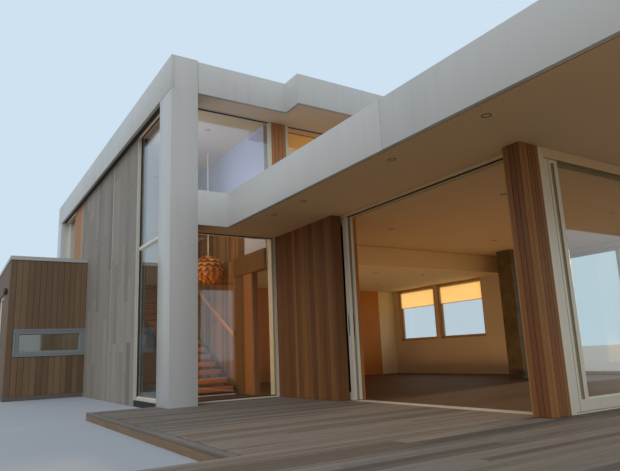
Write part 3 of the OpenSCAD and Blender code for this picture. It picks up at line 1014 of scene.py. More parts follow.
# A darker frame coat, which is painted shade: on the end door's sunk step and the hall pane's right
# stile.
SHADED_FRAME = Coating("door_step_coating", tint("968a6c"), rough=0.4, metal=0.2, wave=0.02)
RAIL_TRACK = Coating("track_aluminium", tint("c8bca0"), rough=0.45, metal=0.1, wave=0.02)
PALE_TRIM = Coating("pale_trim", tint("bab8b2"), rough=0.4, metal=0.2, dust=0.08)
# Black rubber for gaskets and gaps, which also serves as painted shade where shadow gaps and channels
# show dark.
GASKET_AND_SHADE = Rubber("window_gasket", tint("282828"))
# Dark backing behind the boards, also used as a painted-shade core inside the pendant.
BACKING_AND_SHADE = Rubber("board_backing", tint("241e1a"))
TRACK = Coating("door_track", tint("54504a"), rough=0.42, metal=0.5)
STEEL = Coating("brushed_steel", tint("babab8"), rough=0.3, metal=0.9)
GLASS = Glazing("window_glass")
ROOFING = Membrane("roof_membrane", tint("868888"), tint("706a62"))
CAP = Coating("cap_flashing", tint("b2b5b6"), rough=0.4, metal=0.2)
HEARTH = Stone("hearth_stone", tint("706240"), tint("584c32"), rough=0.6)
BLIND = Cloth("woven_blind", tint("ffe29e"))
LEAF = Veneer("bent_veneer", tint("fcb658"), tint("ba6822"))
FLOOR = Floor("floorboards", tint("5c3a20"), tint("3e2614"), tint("605c58"))


def board_stock(name: str, ease: float, finish: Finish) -> Stock:
    """Models a board with eased edges of a given width."""
    shape = Shape.cube(name, Box.of((0, 0.5), (0, 0.5), (0, 0.5)))
    return Stock.from_shape(shape.eased(ease).finished(finish))


@dataclass
class Cladding:
    """Upright boards on one face of a wall, cut round its openings."""

    facing: Facing
    face: float
    run: Span
    rise: Span
    pitch: float = 0.078
    gap: float = 0.006
    thick: float = 0.018
    holes: Sequence[Box] = ()
    lengths: Span | None = None
    narrowest: float = 0.006
    spread: float = 0.15
    seed: int = 1

    def _strips(self) -> list[Span]:
        """Returns each board's two edges along the wall, split where an opening starts or ends."""
        low, high = self.run
        count = max(1, round((high - low) / self.pitch))
        step = (high - low) / count
        cuts = [edge for hole in self.holes for edge in hole.span(self.facing.along)]
        strips = []
        for k in range(count):
            start = low + k * step + self.gap / 2
            stop = low + (k + 1) * step - self.gap / 2
            inner = sorted(c for c in cuts if start + self.narrowest < c < stop - self.narrowest)
            edges = [start, *inner, stop]
            strips += list(zip(edges, edges[1:]))
        return strips

    def _heights(self, strip: Span, chance: random.Random) -> list[Span]:
        """Finds the lengths of one board's line that no opening takes.

        Args:
            strip: The line's two edges along the wall.
            chance: The source of where its boards end.

        Returns:
            The lowest and highest level of each length.
        """
        middle = sum(strip) / 2
        spans = [self.rise]
        for hole in self.holes:
            low, high = hole.span(self.facing.along)
            if not low < middle < high:
                continue
            below, above = hole.span(2)
            spans = [
                piece
                for a, b in spans
                for piece in ((a, min(b, below)), (max(a, above), b))
                if piece[1] - piece[0] > self.narrowest
            ]
        if self.lengths is None:
            return spans
        cut = []
        for a, b in spans:
            at = a - chance.uniform(0, self.lengths[0])
            while at < b:
                top = at + chance.uniform(*self.lengths)
                low, high = max(at, a), min(top, b)
                if high - low > self.narrowest * 3:
                    cut.append((low, high - HAIR * 2))
                at = top
        return cut

    def boards(self, stock: Stock) -> list[Piece]:
        """Cuts and places the boards.

        Args:
            stock: The board that they are cut from.

        Returns:
            The boards, not yet joined.
        """
        chance = random.Random(self.seed)
        deep = (self.face, self.face + self.facing.inward * self.thick)
        made = []
        for strip in self._strips():
            for rise in self._heights(strip, chance):
                tone = min(1.0, max(0.0, chance.gauss(0.5, self.spread)))
                made.append(stock.piece(Box.on(self.facing, strip, deep, rise), tone=tone))
        return made


@dataclass
class Deck:
    """Deck boards along X, with a border board on the open left edges, screws and edge boards."""

    width: float = 0.0905
    rows_in_step: int = 33
    border: float = 0.1
    butt: float = 0.004
    longest: float = 4.8
    bearer: float = 0.6
    ease: float = 0.005
    screw_r: float = 0.0045
    screw_h: float = 0.0008
    screw_in: float = 0.02
    border_gap: float = 0.018
    door_strip: float = 0.18

    def __post_init__(self) -> None:
        """Works out the deck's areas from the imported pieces."""
        boards = whole("deck_boards")
        self.thick = boards.size[2]
        left, front = boards.lo[0], boards.lo[1]
        right, back = boards.hi[0], boards.hi[1]
        wall = whole("pocket_wall")
        post = whole("corner_post")
        hall = whole("front_column").hi[0]
        points = corners("deck_boards")
        edge = float(points[points[:, 1] > back - HAIR, 0].min())
        step = float(points[points[:, 0] < left + HAIR, 1].max())
        z = (-self.thick, 0.0)
        pane = wall.hi[1]
        self.left, self.edge, self.step, self.front = left, edge, step, front
        self.areas = [
            Box.of((left + self.border, edge), (front, step), z),
            Box.of((edge, edge + self.border), (front, step), z),
            Box.of((edge + self.border, 0.0), (front, back), z),
            Box.of((0.0, hall), (front, 0.0), z),
            Box.of((hall, wall.lo[0]), (front, pane), z),
            Box.of((wall.lo[0], right), (front, post.lo[1]), z),
            Box.of((wall.lo[0], wall.lo[0] + self.door_strip), (post.hi[1], wall.lo[1]), z),
        ]
        self.borders = [
            Box.of((left, left + self.border), (front, step), z),
            Box.of((edge, edge + self.border), (step, back), z),
        ]

    def _row_pieces(self, low: float, high: float) -> list[Box]:
        """Finds the lengths of deck that one row covers, before it is cut to boards.

        Args:
            low: The row's front edge.
            high: Its back edge.

        Returns:
            The box of each length.
        """
        runs: list[list[float]] = []
        for area in sorted(self.areas, key=lambda a: a.lo[0]):
            a, b = max(low, area.lo[1]), min(high, area.hi[1])
            if b - a < self.ease * 5:
                continue
            last = runs[-1] if runs else None
            if last and abs(last[1] - area.lo[0]) < HAIR and last[2:] == [a, b]:
                last[1] = area.hi[0]
            else:
                runs.append([area.lo[0], area.hi[0], a, b])
        return [Box.of((r[0], r[1]), (r[2], r[3]), (-self.thick, 0.0)) for r in runs]

    def _rows(self) -> Iterator[tuple[float, float]]:
        """Gives each row's two edges, from the front to the back."""
        pitch = (self.step - self.front) / self.rows_in_step
        back = max(a.hi[1] for a in self.areas)
        for k in range(math.ceil((back - self.front) / pitch)):
            low = self.front + k * pitch
            yield low, low + self.width

    def planks(self) -> None:
        """Lays the boards and their border, cut to the deck's outline."""
        stock = board_stock("plank", self.ease, DECKING)
        edging = board_stock("border_plank", self.ease, DECK_BORDER)
        chance = random.Random(7)
        made = []
        for low, high in self._rows():
            for run in self._row_pieces(low, high):
                x = run.lo[0] - chance.uniform(0, self.longest)
                while x < run.hi[0]:
                    stop = x + self.longest
                    a, b = max(x, run.lo[0]), min(stop, run.hi[0])
                    if b - a > self.butt * 4:
                        box = Box.of((a + self.butt / 2, b - self.butt / 2), run.span(1), run.span(2))
                        made.append(stock.piece(box, tone=chance.random()))
                    x = stop
        for area in self.borders:
            for y in np.arange(area.lo[1], area.hi[1], self.longest):
                stop = min(y + self.longest, area.hi[1]) - self.butt
                box = Box.of((area.lo[0], area.hi[0] - self.border_gap), (float(y), stop), area.span(2))
                made.append(edging.piece(box, tone=chance.random()))
        hand_over(joined("deck_planks", made), ["deck_boards"])

    def screws(self) -> None:
        """Sets two dished screw heads where each board crosses a bearer."""
        shape = Shape.added("screw", "circle", vertices=6, radius=self.screw_r, fill_type="NGON")
        with shape.editing():
            shape.pick_all()
            shape.push((0, 0, self.screw_h))
            shape.inset(self.screw_r * 0.4, -0.001)
        stock = Stock.from_shape(shape.finished(TRACK))
        r, z = self.screw_r, (-self.screw_h / 2, self.screw_h / 2)
        inset = self.screw_in
        made = []
        for run in (run for row in self._rows() for run in self._row_pieces(*row)):
            for x in np.arange(self.edge - 3 * self.bearer, run.hi[0], self.bearer):
                if not run.lo[0] + 1.5 * inset < x < run.hi[0] - 1.5 * inset or run.size[1] < 3 * inset:
                    continue
                for y in (run.lo[1] + inset, run.hi[1] - inset):
                    made.append(stock.piece(Box.of((x - r, x + r), (y - r, y + r), z)))
        hand_over(joined("deck_screws", made))

    def build(self) -> None:
        """Builds the deck."""
        self.planks()
        self.screws()
        DECK_EDGE.dress("deck_frame")


@dataclass(frozen=True)
class Seam:
    """A joint between two casing panels: the axis that it crosses, its place, and the one side
    that shows it, or None for a joint that runs all round."""

    axis: Axis
    place: float
    side: Facing | None = None

    def shows(self, normal: Vector) -> bool:
        """Returns whether a face with this normal has the joint."""
        if self.side is None:
            return abs(normal[self.axis.value]) < 0.5
        return normal[self.side.across] * self.side.inward < -0.9


@dataclass
class Casing:
    """Folded sheet casings of the columns and roof edges, with open joints between panels. The
    steps are where a front's right part starts to stand forward."""

    sheet: float = 0.06
    upper_step: float = 2.31
    eave_step: float = 1.04
    side_seam: float = 6.03
    eave_seam: float = -4.27
    fold: float = 0.004
    groove: float = 0.008
    depth: float = 0.012
    ease: float = 0.0025
    panel: float = 4.0
    cap_t: float = 0.003
    cap_in: float = 0.004

    def _grooved(self, node: str, seams: Sequence[Seam]) -> None:
        """Copies a packed casing and sinks its joints.

        Args:
            node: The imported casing.
            seams: Where its joints are.
        """
        name = node.replace("_fascia", "") + "_casing"
        shape = Shape.of_node(name, node).finished(PANEL)
        half = self.groove / 2
        sink = {"value": -self.depth, "use_even_offset": True}
        with shape.editing():
            for seam in seams:
                axis = seam.axis.value
                shape.slice(axis, seam.place - half)
                shape.slice(axis, seam.place + half)
                if shape.pick(lambda c, n: abs(c[axis] - seam.place) < half / 2 and seam.shows(n)):
                    bpy.ops.mesh.extrude_region_shrink_fatten(TRANSFORM_OT_shrink_fatten=sink)
        hand_over(shape.eased(self.ease, 2, 50), [node], smooth=50)

    def _shared(self, axis: Axis, span: Span) -> list[Seam]:
        """Shares a length into panels of nearly equal width.

        Args:
            axis: The axis that the length lies along.
            span: Its two ends.

        Returns:
            The joints between the panels.
        """
        count = max(1, round((span[1] - span[0]) / self.panel))
        step = (span[1] - span[0]) / count
        return [Seam(axis, span[0] + k * step) for k in range(1, count)]

    def _stepped(self, box: Box, step: float) -> list[Box]:
        """Finds the straight runs of a front whose right part stands forward.

        Args:
            box: The box round the front.
            step: Where its right part starts.

        Returns:
            The box of each run.
        """
        t, near, z = self.sheet, box.lo[1], box.span(2)
        return [
            Box.of((box.lo[0], step), (0.0, t), z),
            Box.of((step, step + t), (near, t), z),
            Box.of((step + t, box.hi[0]), (near, near + t), z),
        ]

    def casings(self) -> None:
        """Builds the columns and roof edges."""
        front, rear, eave = whole("front_fascia"), whole("rear_fascia"), whole("eave_fascia")
        level = Seam(Axis.Z, whole("side_fascia").lo[2] - self.fold, LEFT)
        upper = self._shared(Axis.X, (self.upper_step, front.hi[0]))
        behind = self._shared(Axis.Y, rear.span(1)) + self._shared(Axis.X, rear.span(0))
        lower = self._shared(Axis.X, (self.eave_step, eave.hi[0]))
        self._grooved("front_column", [level])
        self._grooved("rear_column", [level])
        self._grooved("side_fascia", [Seam(Axis.Y, self.side_seam)])
        self._grooved("front_fascia", [Seam(Axis.X, front.lo[0] + self.fold), *upper])
        self._grooved("rear_fascia", behind)
        self._grooved("eave_fascia", [Seam(Axis.Y, self.eave_seam), *lower])

    def caps(self) -> None:
        """Lays a flat cap on each straight run of the roof edges, just inside its outer face."""
        t = self.sheet
        side, front, rear, eave = (whole(f"{n}_fascia") for n in ("side", "front", "rear", "eave"))
        runs = [
            side,
            *self._stepped(front, self.upper_step),
            Box.of((rear.hi[0] - t, rear.hi[0]), (rear.lo[1], rear.hi[1] - t), rear.span(2)),
            Box.of(rear.span(0), (rear.hi[1] - t, rear.hi[1]), rear.span(2)),
            *self._stepped(eave, self.eave_step),
            Box.of((eave.hi[0] - t, eave.hi[0]), (eave.lo[1] + t, eave.hi[1]), eave.span(2)),
        ]
        stock = board_stock("cap", 0.001, CAP)
        made = []
        for run in runs:
            top = (run.hi[2] - HAIR, run.hi[2] + self.cap_t)
            box = Box.of(run.span(0), run.span(1), top).grown(-self.cap_in, -self.cap_in)
            made.append(stock.piece(box))
        hand_over(joined("edge_caps", made))

    def build(self) -> None:
        """Builds the casings and their caps."""
        self.casings()
        self.caps()


@dataclass
class Walls:
    """The clad walls: boards on a set-back core, cut round the windows."""

    pitch: float = 0.078
    thick: float = 0.018
    ease: float = 0.003
    lengths: Span = (2.4, 3.0)
    skin_t: float = 0.05
    pocket_end: float = 0.18
    post_pitch: float = 0.066
    grey_seam: float = 4.64
    grey_pitch: float = 0.3
    batten_w: float = 0.028
    batten_out: float = 0.004
    flashing: Span = (0.039, 0.007)
    wing_t: float = 0.15
    wing_pitch: float = 0.14

    def __post_init__(self) -> None:
        """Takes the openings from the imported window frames, and models the boards."""
        self.frames = islands("window_frames")
        finishes = (
            CEDAR, POST_BOARDS, SHADED_POST_SIDE, WORN_CEDAR, CEDAR_BRIGHT, GREY_BOARDS, WING_CEDAR, WING_LINING
        )
        self.stock = {f: board_stock(f"{f.name}_stock", self.ease, f) for f in finishes}
        self.batten = board_stock("pale_batten", 0.002, PALE_TRIM)

    def _holes(self, wall: Box, facing: Facing) -> list[Box]:
        """Finds the openings of a wall.

        Args:
            wall: The wall's box.
            facing: The way that it looks.

        Returns:
            The boxes of the frames that stand in it.
        """
        axis = facing.across
        low, high = wall.lo[axis] - HAIR, wall.hi[axis] + HAIR
        return [
            f for f in self.frames
            if f.size[axis] < 0.2 and low < f.middle[axis] < high and side_of(f).across == axis
        ]

    def _core(
        self,
        name: str,
        node: str,
        finish: Finish,
        faces: Iterable[tuple[Facing, float]],
        inside: Test | None = None,
        slot: str = "cedar",
    ) -> None:
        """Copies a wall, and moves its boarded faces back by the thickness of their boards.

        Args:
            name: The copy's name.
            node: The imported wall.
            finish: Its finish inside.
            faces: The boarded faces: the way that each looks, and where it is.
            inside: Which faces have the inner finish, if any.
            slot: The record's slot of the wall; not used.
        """
        core = Shape.of_node(name, node).finished(BACKING_AND_SHADE, finish)
        if inside:
            with core.editing():
                core.coat(finish, inside)
        for facing, face in faces:
            axis, inward = facing.across, facing.inward
            by = [0.0, 0.0, 0.0]
            by[axis] = inward * self.thick
            with core.editing():
                core.pick(lambda c, n: abs(c[axis] - face) < HAIR and -n[axis] * inward > 0.9)
                bpy.ops.transform.translate(value=by)
        hand_over(core, [node])

    def right_and_back(self) -> None:
        """Boards the right and back walls, the upper storey in lengths of its own."""
        split = whole("lower_soffit").lo[2]
        for node, facing in (("right_wall", RIGHT), ("back_wall", BACK)):
            wall = whole(node)
            low, high = wall.span(facing.along)
            face = wall.hi[facing.across]
            inner = face - self.skin_t
            self._core(
                f"{node}_core", node, WALL_PAINT, [(facing, face)],
                lambda c, n: c[facing.across] < inner,
            )
            upper_from = whole("front_beam").lo[1] if facing is RIGHT else low
            boards = []
            for run, rise, seed in (
                ((low, high), (wall.lo[2], split), 3),
                ((upper_from, high), (split, wall.hi[2]), 4),
            ):
                boards += Cladding(
                    facing, face, run, rise, self.pitch, holes=self._holes(wall, facing),
                    seed=seed, lengths=self.lengths,
                ).boards(self.stock[WORN_CEDAR])
            hand_over(joined(f"{node}_boards", boards))

    def pocket(self) -> None:
        """Boards the wall outside the sliding panels' pocket, and its end."""
        wall = whole("pocket_wall")
        face, end = wall.lo[0], wall.lo[1]
        sides = [(LEFT, face), (FRONT, end)]
        self._core("pocket_wall_core", "pocket_wall", BACKING_AND_SHADE, sides)
        boards = Cladding(
            LEFT, face, (end, wall.hi[1]), wall.span(2), self.pitch,
            gap=0.009, spread=0.24, seed=11,
        ).boards(self.stock[CEDAR])
        boards += Cladding(
            FRONT, end, (face + self.thick, face + self.pocket_end), wall.span(2),
            self.pocket_end / 2, gap=0.002, seed=5,
        ).boards(self.stock[CEDAR])
        hand_over(joined("pocket_wall_boards", boards))

    def post(self) -> None:
        """Boards the corner post on its four sides."""
        post = whole("corner_post")
        t = self.thick
        core = Shape.cube("corner_post_core", post.grown(-t, -t)).finished(BACKING_AND_SHADE)
        with core.editing():
            core.pick(lambda c, n: abs(n.z) > 0.9)
            core.inset(0.02)
        hand_over(core, ["corner_post"])
        boards = []
        around = (FRONT, LEFT, BACK, RIGHT)
        for seed, facing in enumerate(around, 21):
            axis = facing.across
            face = post.lo[axis] if facing.inward > 0 else post.hi[axis]
            low, high = post.span(facing.along)
            cut = t * facing.along
            # The left face takes the darker copy of the cedar, as painted shade.
            finish = SHADED_POST_SIDE if facing is LEFT else POST_BOARDS
            boards += Cladding(
                facing, face, (low + cut, high - cut), post.span(2), self.post_pitch,
                seed=seed, spread=0.22,
            ).boards(self.stock[finish])
        hand_over(joined("corner_post_boards", boards))

    def grey_side(self) -> None:
        """Boards the tall side wall in staggered grey lengths, with one straight joint."""
        wall, wing = whole("side_wall"), whole("side_wing_walls")
        face, foot, head = wall.lo[0], wall.lo[2], wall.hi[2]
        wing_top = whole("side_wing_roof").hi[2]
        panel = islands("cedar_panels")[0].lo[1]
        glass = max(f.hi[1] for f in self.frames if f.lo[1] < 1 and f.lo[0] < 0.3)
        self._core(
            "side_wall_core", "side_wall", WALL_PAINT, [(LEFT, face)],
            lambda c, n: n.x > 0.9, "grey_boards",
        )
        seam, batten, half = self.grey_seam, self.batten_w, self.batten_w / 2
        sections = (
            ((glass + batten, seam - half), foot),
            ((seam + half, wing.lo[1]), foot),
            ((wing.lo[1], panel - batten), wing_top),
        )
        boards = []
        for seed, (run, low) in enumerate(sections, 31):
            boards += Cladding(
                LEFT, face, run, (low, head), self.grey_pitch, gap=0.004,
                lengths=(1.2, 2.6), spread=0.22, seed=seed,
            ).boards(self.stock[GREY_BOARDS])
        hand_over(joined("grey_side_boards", boards))
        out = face - self.batten_out
        battens = []
        for y, low in ((glass, 0.0), (seam - half, foot), (panel - batten, wing_top)):
            strip = Box.of((out, face + self.thick), (y, y + batten - HAIR), (low, head))
            battens.append(self.batten.piece(strip))
        deep, near = self.flashing
        flashing = Box.of((out, face + deep), (glass - near, glass + HAIR), (0.0, head))
        battens.append(self.batten.piece(flashing))
        hand_over(joined("side_wall_battens", battens))

    def panels(self) -> None:
        """Boards the timber panels between the upper windows, and the one on the side."""
        panels = islands("cedar_panels")
        sides = [LEFT] + [FRONT] * (len(panels) - 1)
        faces = [(side, panel.lo[side.across]) for side, panel in zip(sides, panels)]
        behind = whole("front_beam").hi[1] - self.skin_t
        self._core(
            "cedar_panel_cores", "cedar_panels", WALL_PAINT, faces,
            lambda c, n: c.y > behind and c.x > 0.4,
        )
        boards = []
        for seed, ((side, face), panel) in enumerate(zip(faces, panels), 41):
            run, rise = panel.span(side.along), panel.span(2)
            clad = Cladding(side, face, run, rise, self.pitch, seed=seed)
            boards += clad.boards(self.stock[CEDAR_BRIGHT])
        hand_over(joined("cedar_panel_boards", boards))

    def side_wing(self) -> None:
        """Boards the side wing's front, left and back walls, and the house's wall inside it."""
        wing, t = whole("side_wing_walls"), self.thick
        inside = wing.grown(-0.1, -0.1)
        sides = (
            (FRONT, wing.lo[1], wing.span(0)),
            (LEFT, wing.lo[0], (wing.lo[1] + t, wing.hi[1] - t)),
            (BACK, wing.hi[1], wing.span(0)),
        )
        self._core(
            "side_wing_core", "side_wing_walls", WING_LINING, [side[:2] for side in sides],
            lambda c, n: inside.lo[0] < c.x and inside.lo[1] < c.y < inside.hi[1],
        )
        boards = []
        for seed, (facing, face, run) in enumerate(sides, 51):
            deep = (face, face + facing.inward * self.wing_t)
            holes = self._holes(Box.on(facing, run, deep, wing.span(2)), facing)
            boards += Cladding(
                facing, face, run, wing.span(2), self.wing_pitch, holes=holes, spread=0.2, seed=seed
            ).boards(self.stock[WING_CEDAR])
        boards += Cladding(
            LEFT, whole("side_wall").lo[0], wing.grown(0, -self.wing_t).span(1),
            (0.0, wing.hi[2] - 0.01), self.wing_pitch, spread=0.3, seed=57,
        ).boards(self.stock[WING_LINING])
        hand_over(joined("side_wing_boards", boards))

    def build(self) -> None:
        """Builds every clad wall."""
        self.right_and_back()
        self.pocket()
        self.post()
        self.grey_side()
        self.panels()
        self.side_wing()


@dataclass
class Joinery:
    """Aluminium frames with glazing beads, and the trims and linings round them."""

    bead: float = 0.011
    lip: float = 0.004
    drop: float = 0.0085
    ease: float = 0.0018
    trim_w: float = 0.034
    trim_over: float = 0.024
    trim_out: float = 0.01
    liner_t: float = 0.018
    head_out: float = 0.032
    sill_out: float = 0.045
    sill_ends: float = 0.015
    shadow: float = 0.04
    door_gap: Span = (0.07, 0.082)
    door_stile: float = 0.12
    door_edge: Span = (0.18, 0.25)
    door_step: float = 0.015

    def __post_init__(self) -> None:
        """Models the stocks that every window shares."""
        self.glazing_ring = self._glazing_ring()
        self.trim = self._ring("window_trim", self.trim_w, 0.02, FRAME)
        self.liner = self._ring("window_lining", self.liner_t, 0.05, POCKET_TIMBER)

    @staticmethod
    def _hollow(shape: Shape) -> None:
        """Joins a ring's two inner faces, so that the ring is open."""
        shape.pick(lambda c, n: abs(n.y) > 0.9 and max(abs(c.x), abs(c.z)) < 0.05)
        bpy.ops.mesh.bridge_edge_loops()

    def _ring(self, name: str, bar: float, depth: float, finish: Finish) -> Stock:
        """Models a plain mitred ring with eased edges.

        Args:
            name: The stock's name.
            bar: The width of its bars.
            depth: Its depth, which copies stretch.
            finish: Its finish.
        """
        shape = Shape.cube(name, Box.of((-0.3, 0.3), (-depth / 2, depth / 2), (-0.3, 0.3)))
        with shape.editing():
            shape.pick(lambda c, n: abs(n.y) > 0.9)
            shape.inset(bar)
            self._hollow(shape)
        return Stock.from_shape(shape.eased(self.ease).finished(finish))

    def _glazing_ring(self) -> Stock:
        """Models the ring round one pane: a sloped bead, and a flat lip on the glass."""
        shape = Shape.cube("glazing_ring", Box.of((-0.3, 0.3), (-0.03, 0.03), (-0.3, 0.3)))
        with shape.editing():
            shape.pick(lambda c, n: abs(n.y) > 0.9)
            shape.inset(self.bead, -self.drop * 0.55)
            shape.inset(HAIR, -self.drop * 0.45)
            shape.inset(self.lip, 0)
            self._hollow(shape)
        return Stock.from_shape(shape.finished(FRAME))

    def rings(self, node: str) -> list[Piece]:
        """Makes the glazing rings of a packed glass node.

        Args:
            node: The node's name.

        Returns:
            A ring for each pane.
        """
        made = []
        for pane in islands(node):
            facing = side_of(pane)
            out = [0.0, 0.0, 0.0]
            out[facing.across] = self.drop + HAIR
            made.append(self.glazing_ring.piece(pane.grown(*out), facing))
        return made

    def framed(
        self,
        name: str,
        frames: str,
        panes: str,
        body: str = ROOT,
        extra: Sequence[Piece] = (),
        shaped: Callable[[Shape], None] | None = None,
        toned: Callable[[Shape], None] | None = None,
    ) -> None:
        """Builds one set of frames with its glazing rings.

        Args:
            name: The new piece's name.
            frames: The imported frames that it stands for.
            panes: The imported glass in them.
            body: The body that they move with.
            extra: More pieces that belong to the frames.
            shaped: What is done to the frames in edit mode before their edges are eased.
            toned: What paints the finished frames, rings and all.
        """
        shape = Shape.of_node(name, frames)
        shape.finished(FRAME, GASKET_AND_SHADE, SOFFIT, WING_FRAME, SHADED_FRAME, SHADED_DOOR_HEAD)
        if shaped:
            with shape.editing():
                shaped(shape)
        shape.eased(self.ease)
        shape = joined(name, [shape.obj, *self.rings(panes), *extra])
        if toned:
            with shape.editing():
                toned(shape)
        hand_over(shape, [frames], body)

    def trims(self) -> None:
        """Trims the openings of the boarded walls outside, and lines them inside."""
        covers, linings = [], []
        sill = board_stock("window_sill", 0.003, FRAME)
        right, back = whole("right_wall"), whole("back_wall")
        over, ends = self.trim_over, self.trim_over + self.sill_ends
        for win in islands("window_frames"):
            facing = side_of(win)
            if facing is RIGHT and win.lo[0] > right.lo[0]:
                side, wall = RIGHT, right
            elif facing is FRONT and win.lo[1] > back.lo[1] - HAIR:
                side, wall = BACK, back
            else:
                continue
            inner, face = wall.span(side.across)
            frame_in = win.lo[side.across]
            (start, stop), rise = win.span(side.along), win.span(2)
            low, high = rise[0] - over, rise[1] + over
            on_floor = rise[0] < 0.02
            deep, foot = (face + self.trim_out, frame_in + 0.05), rise[0] if on_floor else low
            cover = Box.on(side, (start - over, stop + over), deep, (foot, high))
            covers.append(self.trim.piece(cover, side))
            ledges = [(high, self.head_out), (low, self.sill_out)]
            for level, out in ledges[:1] if on_floor else ledges:
                deep, tall = (face - 0.01, face + out), (level - 0.004, level + 0.012)
                covers.append(sill.piece(Box.on(side, (start - ends, stop + ends), deep, tall)))
            lining = Box.on(side, (start, stop), (inner - 0.004, frame_in), rise)
            linings.append(self.liner.piece(lining, side))
        hand_over(joined("window_trims", covers))
        hand_over(joined("window_linings", linings))

    def wing_window(self) -> list[Piece]:
        """Returns the raised outer rings of the side wing's broad window frame."""
        left = whole("side_wing_walls").lo[0] + 0.5
        frames = islands("window_frames")
        window = next(f for f in frames if side_of(f) is FRONT and f.lo[0] < left)
        face, rings = window.lo[1], []
        for name, bar, step, out in (
            ("wing_window_rim", 0.04, 0.0, 0.02),
            ("wing_window_step", 0.03, 0.05, 0.009),
        ):
            box = window.grown(-step, 0, -step)
            box = Box.of(box.span(0), (face - out, face + 0.02), box.span(2))
            rings.append(self._ring(name, bar, 0.05, WING_FRAME).piece(box))
        return rings

    def window_tones(self, shape: Shape) -> None:
        """Paints the heads that lie in the soffits' shadow gaps black and the right stile of the hall's
        pane darker, both as painted shade, darkens the sill of the hall's pane and the rebate beside the
        grey boards, and coats the side wing's window in its own colour.

        Args:
            shape: The window frames with their rings.
        """
        far, wing = 99.0, whole("side_wing_walls")
        high, low = whole("upper_ceiling").lo[2], whole("lower_soffit").lo[2]
        under = low - self.shadow
        top = Box.of((-far, 9.8), (-far, 11.3), (high - self.shadow, far))
        eave = Box.of((-far, 9.8), (-far, 0.6), (under, low))
        # Painted shade: the frame heads in the shadow gaps are coated black.
        shape.coat(GASKET_AND_SHADE, lambda c, n: n.z < 0.5 and (top.holds(c) or eave.holds(c)))
        sill = Box.of((0.5, 2.25), (-far, 0.56), (-far, 0.15))
        rebate = Box.of((-far, 0.36), (2.4, 2.56), (-far, far))
        stile = Box.of((2.12, 2.4), (-far, 0.6), (-far, under))
        wing_window = Box.of((-far, 0.1), (-far, wing.lo[1] + 0.3), (-far, far))
        # The right stile of the hall's pane takes the darker coat, as painted shade.
        for finish, place in (
            (GASKET_AND_SHADE, sill), (GASKET_AND_SHADE, rebate), (SHADED_FRAME, stile), (WING_FRAME, wing_window)
        ):
            shape.coat(finish, lambda c, n: place.holds(c))

    @staticmethod
    def end_wall_head(shape: Shape) -> None:
        """Paints the end wall's head as the soffit."""
        head = whole("end_wall_glass").hi[2] + 0.035
        shape.coat(SOFFIT, lambda c, n: c.z > head)

    def door_profile(self, shape: Shape) -> None:
        """Folds the end door's broad stile: a flat, a thin gap, a sunk step coated darker as painted
        shade, and a raised edge.

        Args:
            shape: The door's frame.
        """
        left, face = whole("end_door_frame").lo[:2]
        gap, edge = ([left + v for v in span] for span in (self.door_gap, self.door_edge))
        stile, step = left + self.door_stile, self.door_step
        for place in (*gap, edge[0]):
            shape.slice(0, place)

        def front(low: float, high: float, deep: float) -> Test:
            """Returns the test for front faces at a depth between two places."""
            return lambda c, n: n.y < -0.9 and low < c.x < high and abs(c.y - face - deep) < HAIR

        shape.pick(front(*gap, 0.0))
        shape.push((0, 0.01, 0))
        shape.paint(GASKET_AND_SHADE)
        shape.pick(front(gap[1], stile, 0.0))
        shape.push((0, step, 0))
        # The sunk step takes the darker coat, as painted shade.
        shape.coat(SHADED_FRAME, front(gap[1], edge[0], step))
        shape.pick(front(*edge, step))
        shape.push((0, -step, 0))

    def door_head(self, shape: Shape) -> None:
        """Coats the end door's head in a darker tone, which is painted shade for the eave's shadow on
        it.

        Args:
            shape: The door's frame with its ring.
        """
        door = whole("end_door_frame")
        head, stile = door.hi[2] - 0.07, door.lo[0] + self.door_edge[1]
        shape.slice(2, head)
        shape.slice(0, stile)
        shape.coat(SHADED_DOOR_HEAD, lambda c, n: c.z > head and c.x > stile)

    def build(self) -> None:
        """Builds all fixed frames."""
        self.framed(
            "window_joinery", "window_frames", "window_glass",
            extra=self.wing_window(), toned=self.window_tones,
        )
        self.framed("end_wall_joinery", "end_wall_frame", "end_wall_glass", shaped=self.end_wall_head)
        self.trims()
        GLASS.dress("window_glass", "end_wall_glass")


